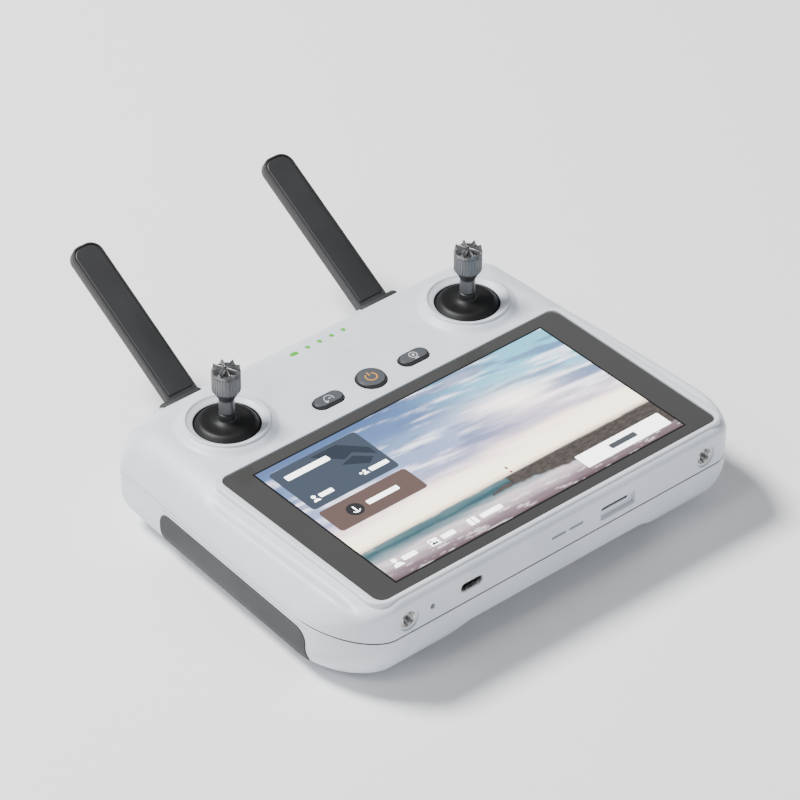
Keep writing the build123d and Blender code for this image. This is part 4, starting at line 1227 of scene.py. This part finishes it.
class CONTROLLER_OT_antennas(bpy.types.Operator):
    """Builds both folding antennas with their bordered covers"""

    bl_idname = "controller.antennas"
    bl_label = "Antennas"

    def execute(self, context):
        for side, sign in SIDES:
            body = stack(blade_shape(6.0, 0.0, 65.0, 4.5), [
                (-2.0, -0.5), (-1.85, -0.15), (-1.5, 0.0), (1.5, 0.0), (1.85, -0.15), (2.0, -0.5)])
            barrel = rod(-6.0, 9.0, 0, 0, 3.6, 0.45, 64)
            body = combine(body, [barrel], "UNION")
            pocket = stack(
                blade_shape(5.05, 4.2, 64.05, 3.55), [(0.55, 0), (1.55, 0), (2.0, 0.25), (3.0, 0.25)])
            combine(body, [pocket, rod(-8.0, 11.0, 0, 0, 1.06, 0, 24)])
            cover = stack(
                blade_shape(5.0, 4.25, 64.0, 3.5), [(0.56, 0), (1.45, 0), (1.75, -0.12), (1.95, -0.4)])
            for name, part, node in (("blade", body, "back"), ("cover", cover, "front")):
                if sign < 0:
                    twin = mirror(part, "twin")
                    discard(part)
                    part = twin
                part.name = side + "_antenna_" + name
                shade(tidy(part, FINE), 30.0)
                part.data.transform(Matrix.Rotation(math.radians(ANTENNA_REST), 4, "X"))
                placed(part, sign * ANTENNA_X, HINGE.y, HINGE.z)
                finish_piece(part, side + "_antenna", FINISH["antenna"],
                             [side + "_antenna_" + node])
        return {"FINISHED"}


# ---- Ports, inserts, screws and rear controls ----------------------------------------------
class CONTROLLER_OT_fittings(bpy.types.Operator):
    """Builds the threaded inserts, the USB port, the case screws, the dials and the shoulder buttons"""

    bl_idname = "controller.fittings"
    bl_label = "Fittings"

    def execute(self, context):
        self.inserts()
        self.port()
        self.screws()
        self.rear_controls(context.scene.controller_sizes.dial_ribs)
        return {"FINISHED"}

    def inserts(self):
        face = FRONT_Y + 0.7
        sleeve = turned_y([
            (2.0, face + 0.02), (2.15, face - 0.1), (2.3, face + 0.02), (2.4, face + 0.12), (2.5, face),
            (2.6, face - 0.1), (2.72, face), (2.8, face + 0.15), (2.8, face + 6.0), (1.95, face + 6.0),
            (1.95, face + 0.35)], 0, 0)
        ring = turned_y(
            [(1.97, face + 0.25), (1.97, face + 0.9), (1.68, face + 0.62), (1.68, face + 0.53)], 0, 0, 48)
        threads = repeated("threads", ring, 8, step=(0, 0.68, 0))
        # Black disc deep in the bore: painted shade for the dark inside of the hole behind the threads.
        plug = turned_y(
            [(0.001, face + 3.2), (1.96, face + 3.2), (1.96, face + 5.9), (0.001, face + 5.9)], 0, 0, 32)
        parts = [finished(sleeve, "insert", 25.0), finished(threads, "steel", 25.0), finished(plug, "black")]
        single = placed(assembled("insert", parts), INSERT_X, 0, INSERT_Z)
        pair = assembled_pair("front_inserts", single)
        finish_piece(pair, "case", None, ["threaded_inserts"])

    def port(self):
        y0, y1 = FRONT_Y + 0.25, FRONT_Y + 7.8
        shell = stack(pill_shape(USB_X, USB_Z, 8.94, 3.2), [(y1, 0), (y0 + 0.15, 0), (y0, -0.12)], "y")
        hollow = stack(
            pill_shape(USB_X, USB_Z, 8.34, 2.6),
            [(y1 - 0.6, 0), (y0 + 0.15, 0), (y0 - 0.1, 0.14), (y0 - 1, 0.14)], "y")
        combine(shell, [hollow])
        shell.name = "usb_port"
        shade(tidy(shell, FINE), 30.0)
        finish_piece(shell, "case", FINISH["sheet"], ["usb_shell"])
        contact = stack(
            plate_shape(-40.27, -40.02, -7.66, -7.62, 0.01), [(FRONT_Y + 1.7, 0), (FRONT_Y + 5.0, 0)], "y")
        contacts = repeated("usb_contacts", contact, 12, step=(0.5, 0, 0))
        finish_piece(contacts, "case", FINISH["insert"])

    def screws(self):
        groups = []
        for x, y in (FRONT_BOLT, *REAR_BOLTS):
            screw = lathe([
                (0.001, -19.9), (0.8, -19.9), (0.8, -20.6), (1.8, -20.55), (2.0, -20.3), (2.0, -19.0),
                (1.0, -19.0), (1.0, -8.0), (0.001, -8.0)], x, y, 32)
            groups.append(repeated("screws", screw, 2, step=(-2 * x, 0, 0)))
        screws = join("case_bolts", groups)
        shade(screws, 30.0)
        finish_piece(screws, "case", FINISH["steel"], ["case_screws"])

    def rear_controls(self, ribs):
        for side, sign in SIDES:
            wheel = rod(-2.5, 2.5, 0, 0, DIAL_R - 0.4, 0.5, 96)
            axle = rod(-4.4, 4.4, 0, 0, 1.0, 0, 24)
            rib = stack(
                disc_shape(0, DIAL_R - 0.4, 0.34, 10),
                [(-2.35, -0.2), (-2.0, 0), (2.0, 0), (2.35, -0.2)], "x")
            grips = repeated("grips", rib, ribs, turn=(math.tau / ribs, 0, 0))
            dial = placed(join(side + "_dial_wheel", [wheel, axle, grips]), sign * DIAL_X, DIAL.y, DIAL.z)
            shade(dial, 30.0)
            finish_piece(dial, side + "_dial", FINISH["black"],
                         [side + "_shoulder_dial"])
            button = stack(disc_shape(sign * TRIGGER_X, TRIGGER_Z, 3.0, 64), [
                (78.2, 0.7), (79.15, 0.7), (79.2, 0.0), *cap(79.3, TRIGGER_OUT, 0.9, 6)[1:]], "y")
            button.name = side + "_shoulder_key"
            shade(button, 30.0)
            finish_piece(button, side + "_trigger", FINISH["shell"],
                         [side + "_shoulder_button"])


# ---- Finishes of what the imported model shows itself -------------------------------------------
NODE_FINISH = {
    "display": "black", "frame_metal": "chassis", "switch": "black", "circuit_board": "board",
    "steel": "steel",
    "insert_metal": "insert", "black_plastic": "black", "battery_wrap": "wrap", "shell": "shell",
}
SLOT = {item["node"]: item["material_slot"] for item in frame["record"]["subparts"]}


class CONTROLLER_OT_inner_parts(bpy.types.Operator):
    """Gives the boards, battery, gimbals and other inner parts their finishes"""

    bl_idname = "controller.inner_parts"
    bl_label = "Inner Parts"

    def execute(self, context):
        for node, obj in frame["nodes"].items():
            for slot in obj.material_slots:
                slot.material = FINISH[NODE_FINISH.get(SLOT.get(node), "black")]
        return {"FINISHED"}


# ---- Panel and run ---------------------------------------------------------------------
OPERATORS = (
    CONTROLLER_OT_stage, CONTROLLER_OT_inner_parts, CONTROLLER_OT_upper_case, CONTROLLER_OT_lower_case,
    CONTROLLER_OT_screen, CONTROLLER_OT_sticks, CONTROLLER_OT_keys, CONTROLLER_OT_antennas,
    CONTROLLER_OT_fittings,
)


class CONTROLLER_PT_panel(bpy.types.Panel):
    """Lists the controller's sizes, colours and pieces"""

    bl_label = "Drone Controller"
    bl_idname = "CONTROLLER_PT_panel"
    bl_space_type = "VIEW_3D"
    bl_region_type = "UI"
    bl_category = "Controller"

    def draw(self, context):
        for settings in (context.scene.controller_sizes, context.scene.controller_colours):
            for name in settings.__annotations__:
                self.layout.prop(settings, name)
        for operator in OPERATORS:
            self.layout.operator(operator.bl_idname)


CLASSES = (ControllerSizes, ControllerColours, *OPERATORS, CONTROLLER_PT_panel)


def register():
    for item in CLASSES:
        bpy.utils.register_class(item)
    bpy.types.Scene.controller_sizes = bpy.props.PointerProperty(type=ControllerSizes)
    bpy.types.Scene.controller_colours = bpy.props.PointerProperty(type=ControllerColours)


def unregister():
    del bpy.types.Scene.controller_colours
    del bpy.types.Scene.controller_sizes
    for item in reversed(CLASSES):
        bpy.utils.unregister_class(item)


def main():
    register()
    make_finishes()
    for operator in OPERATORS:
        group, name = operator.bl_idname.split(".")
        getattr(getattr(bpy.ops, group), name)()


if __name__ == "__main__":
    main()
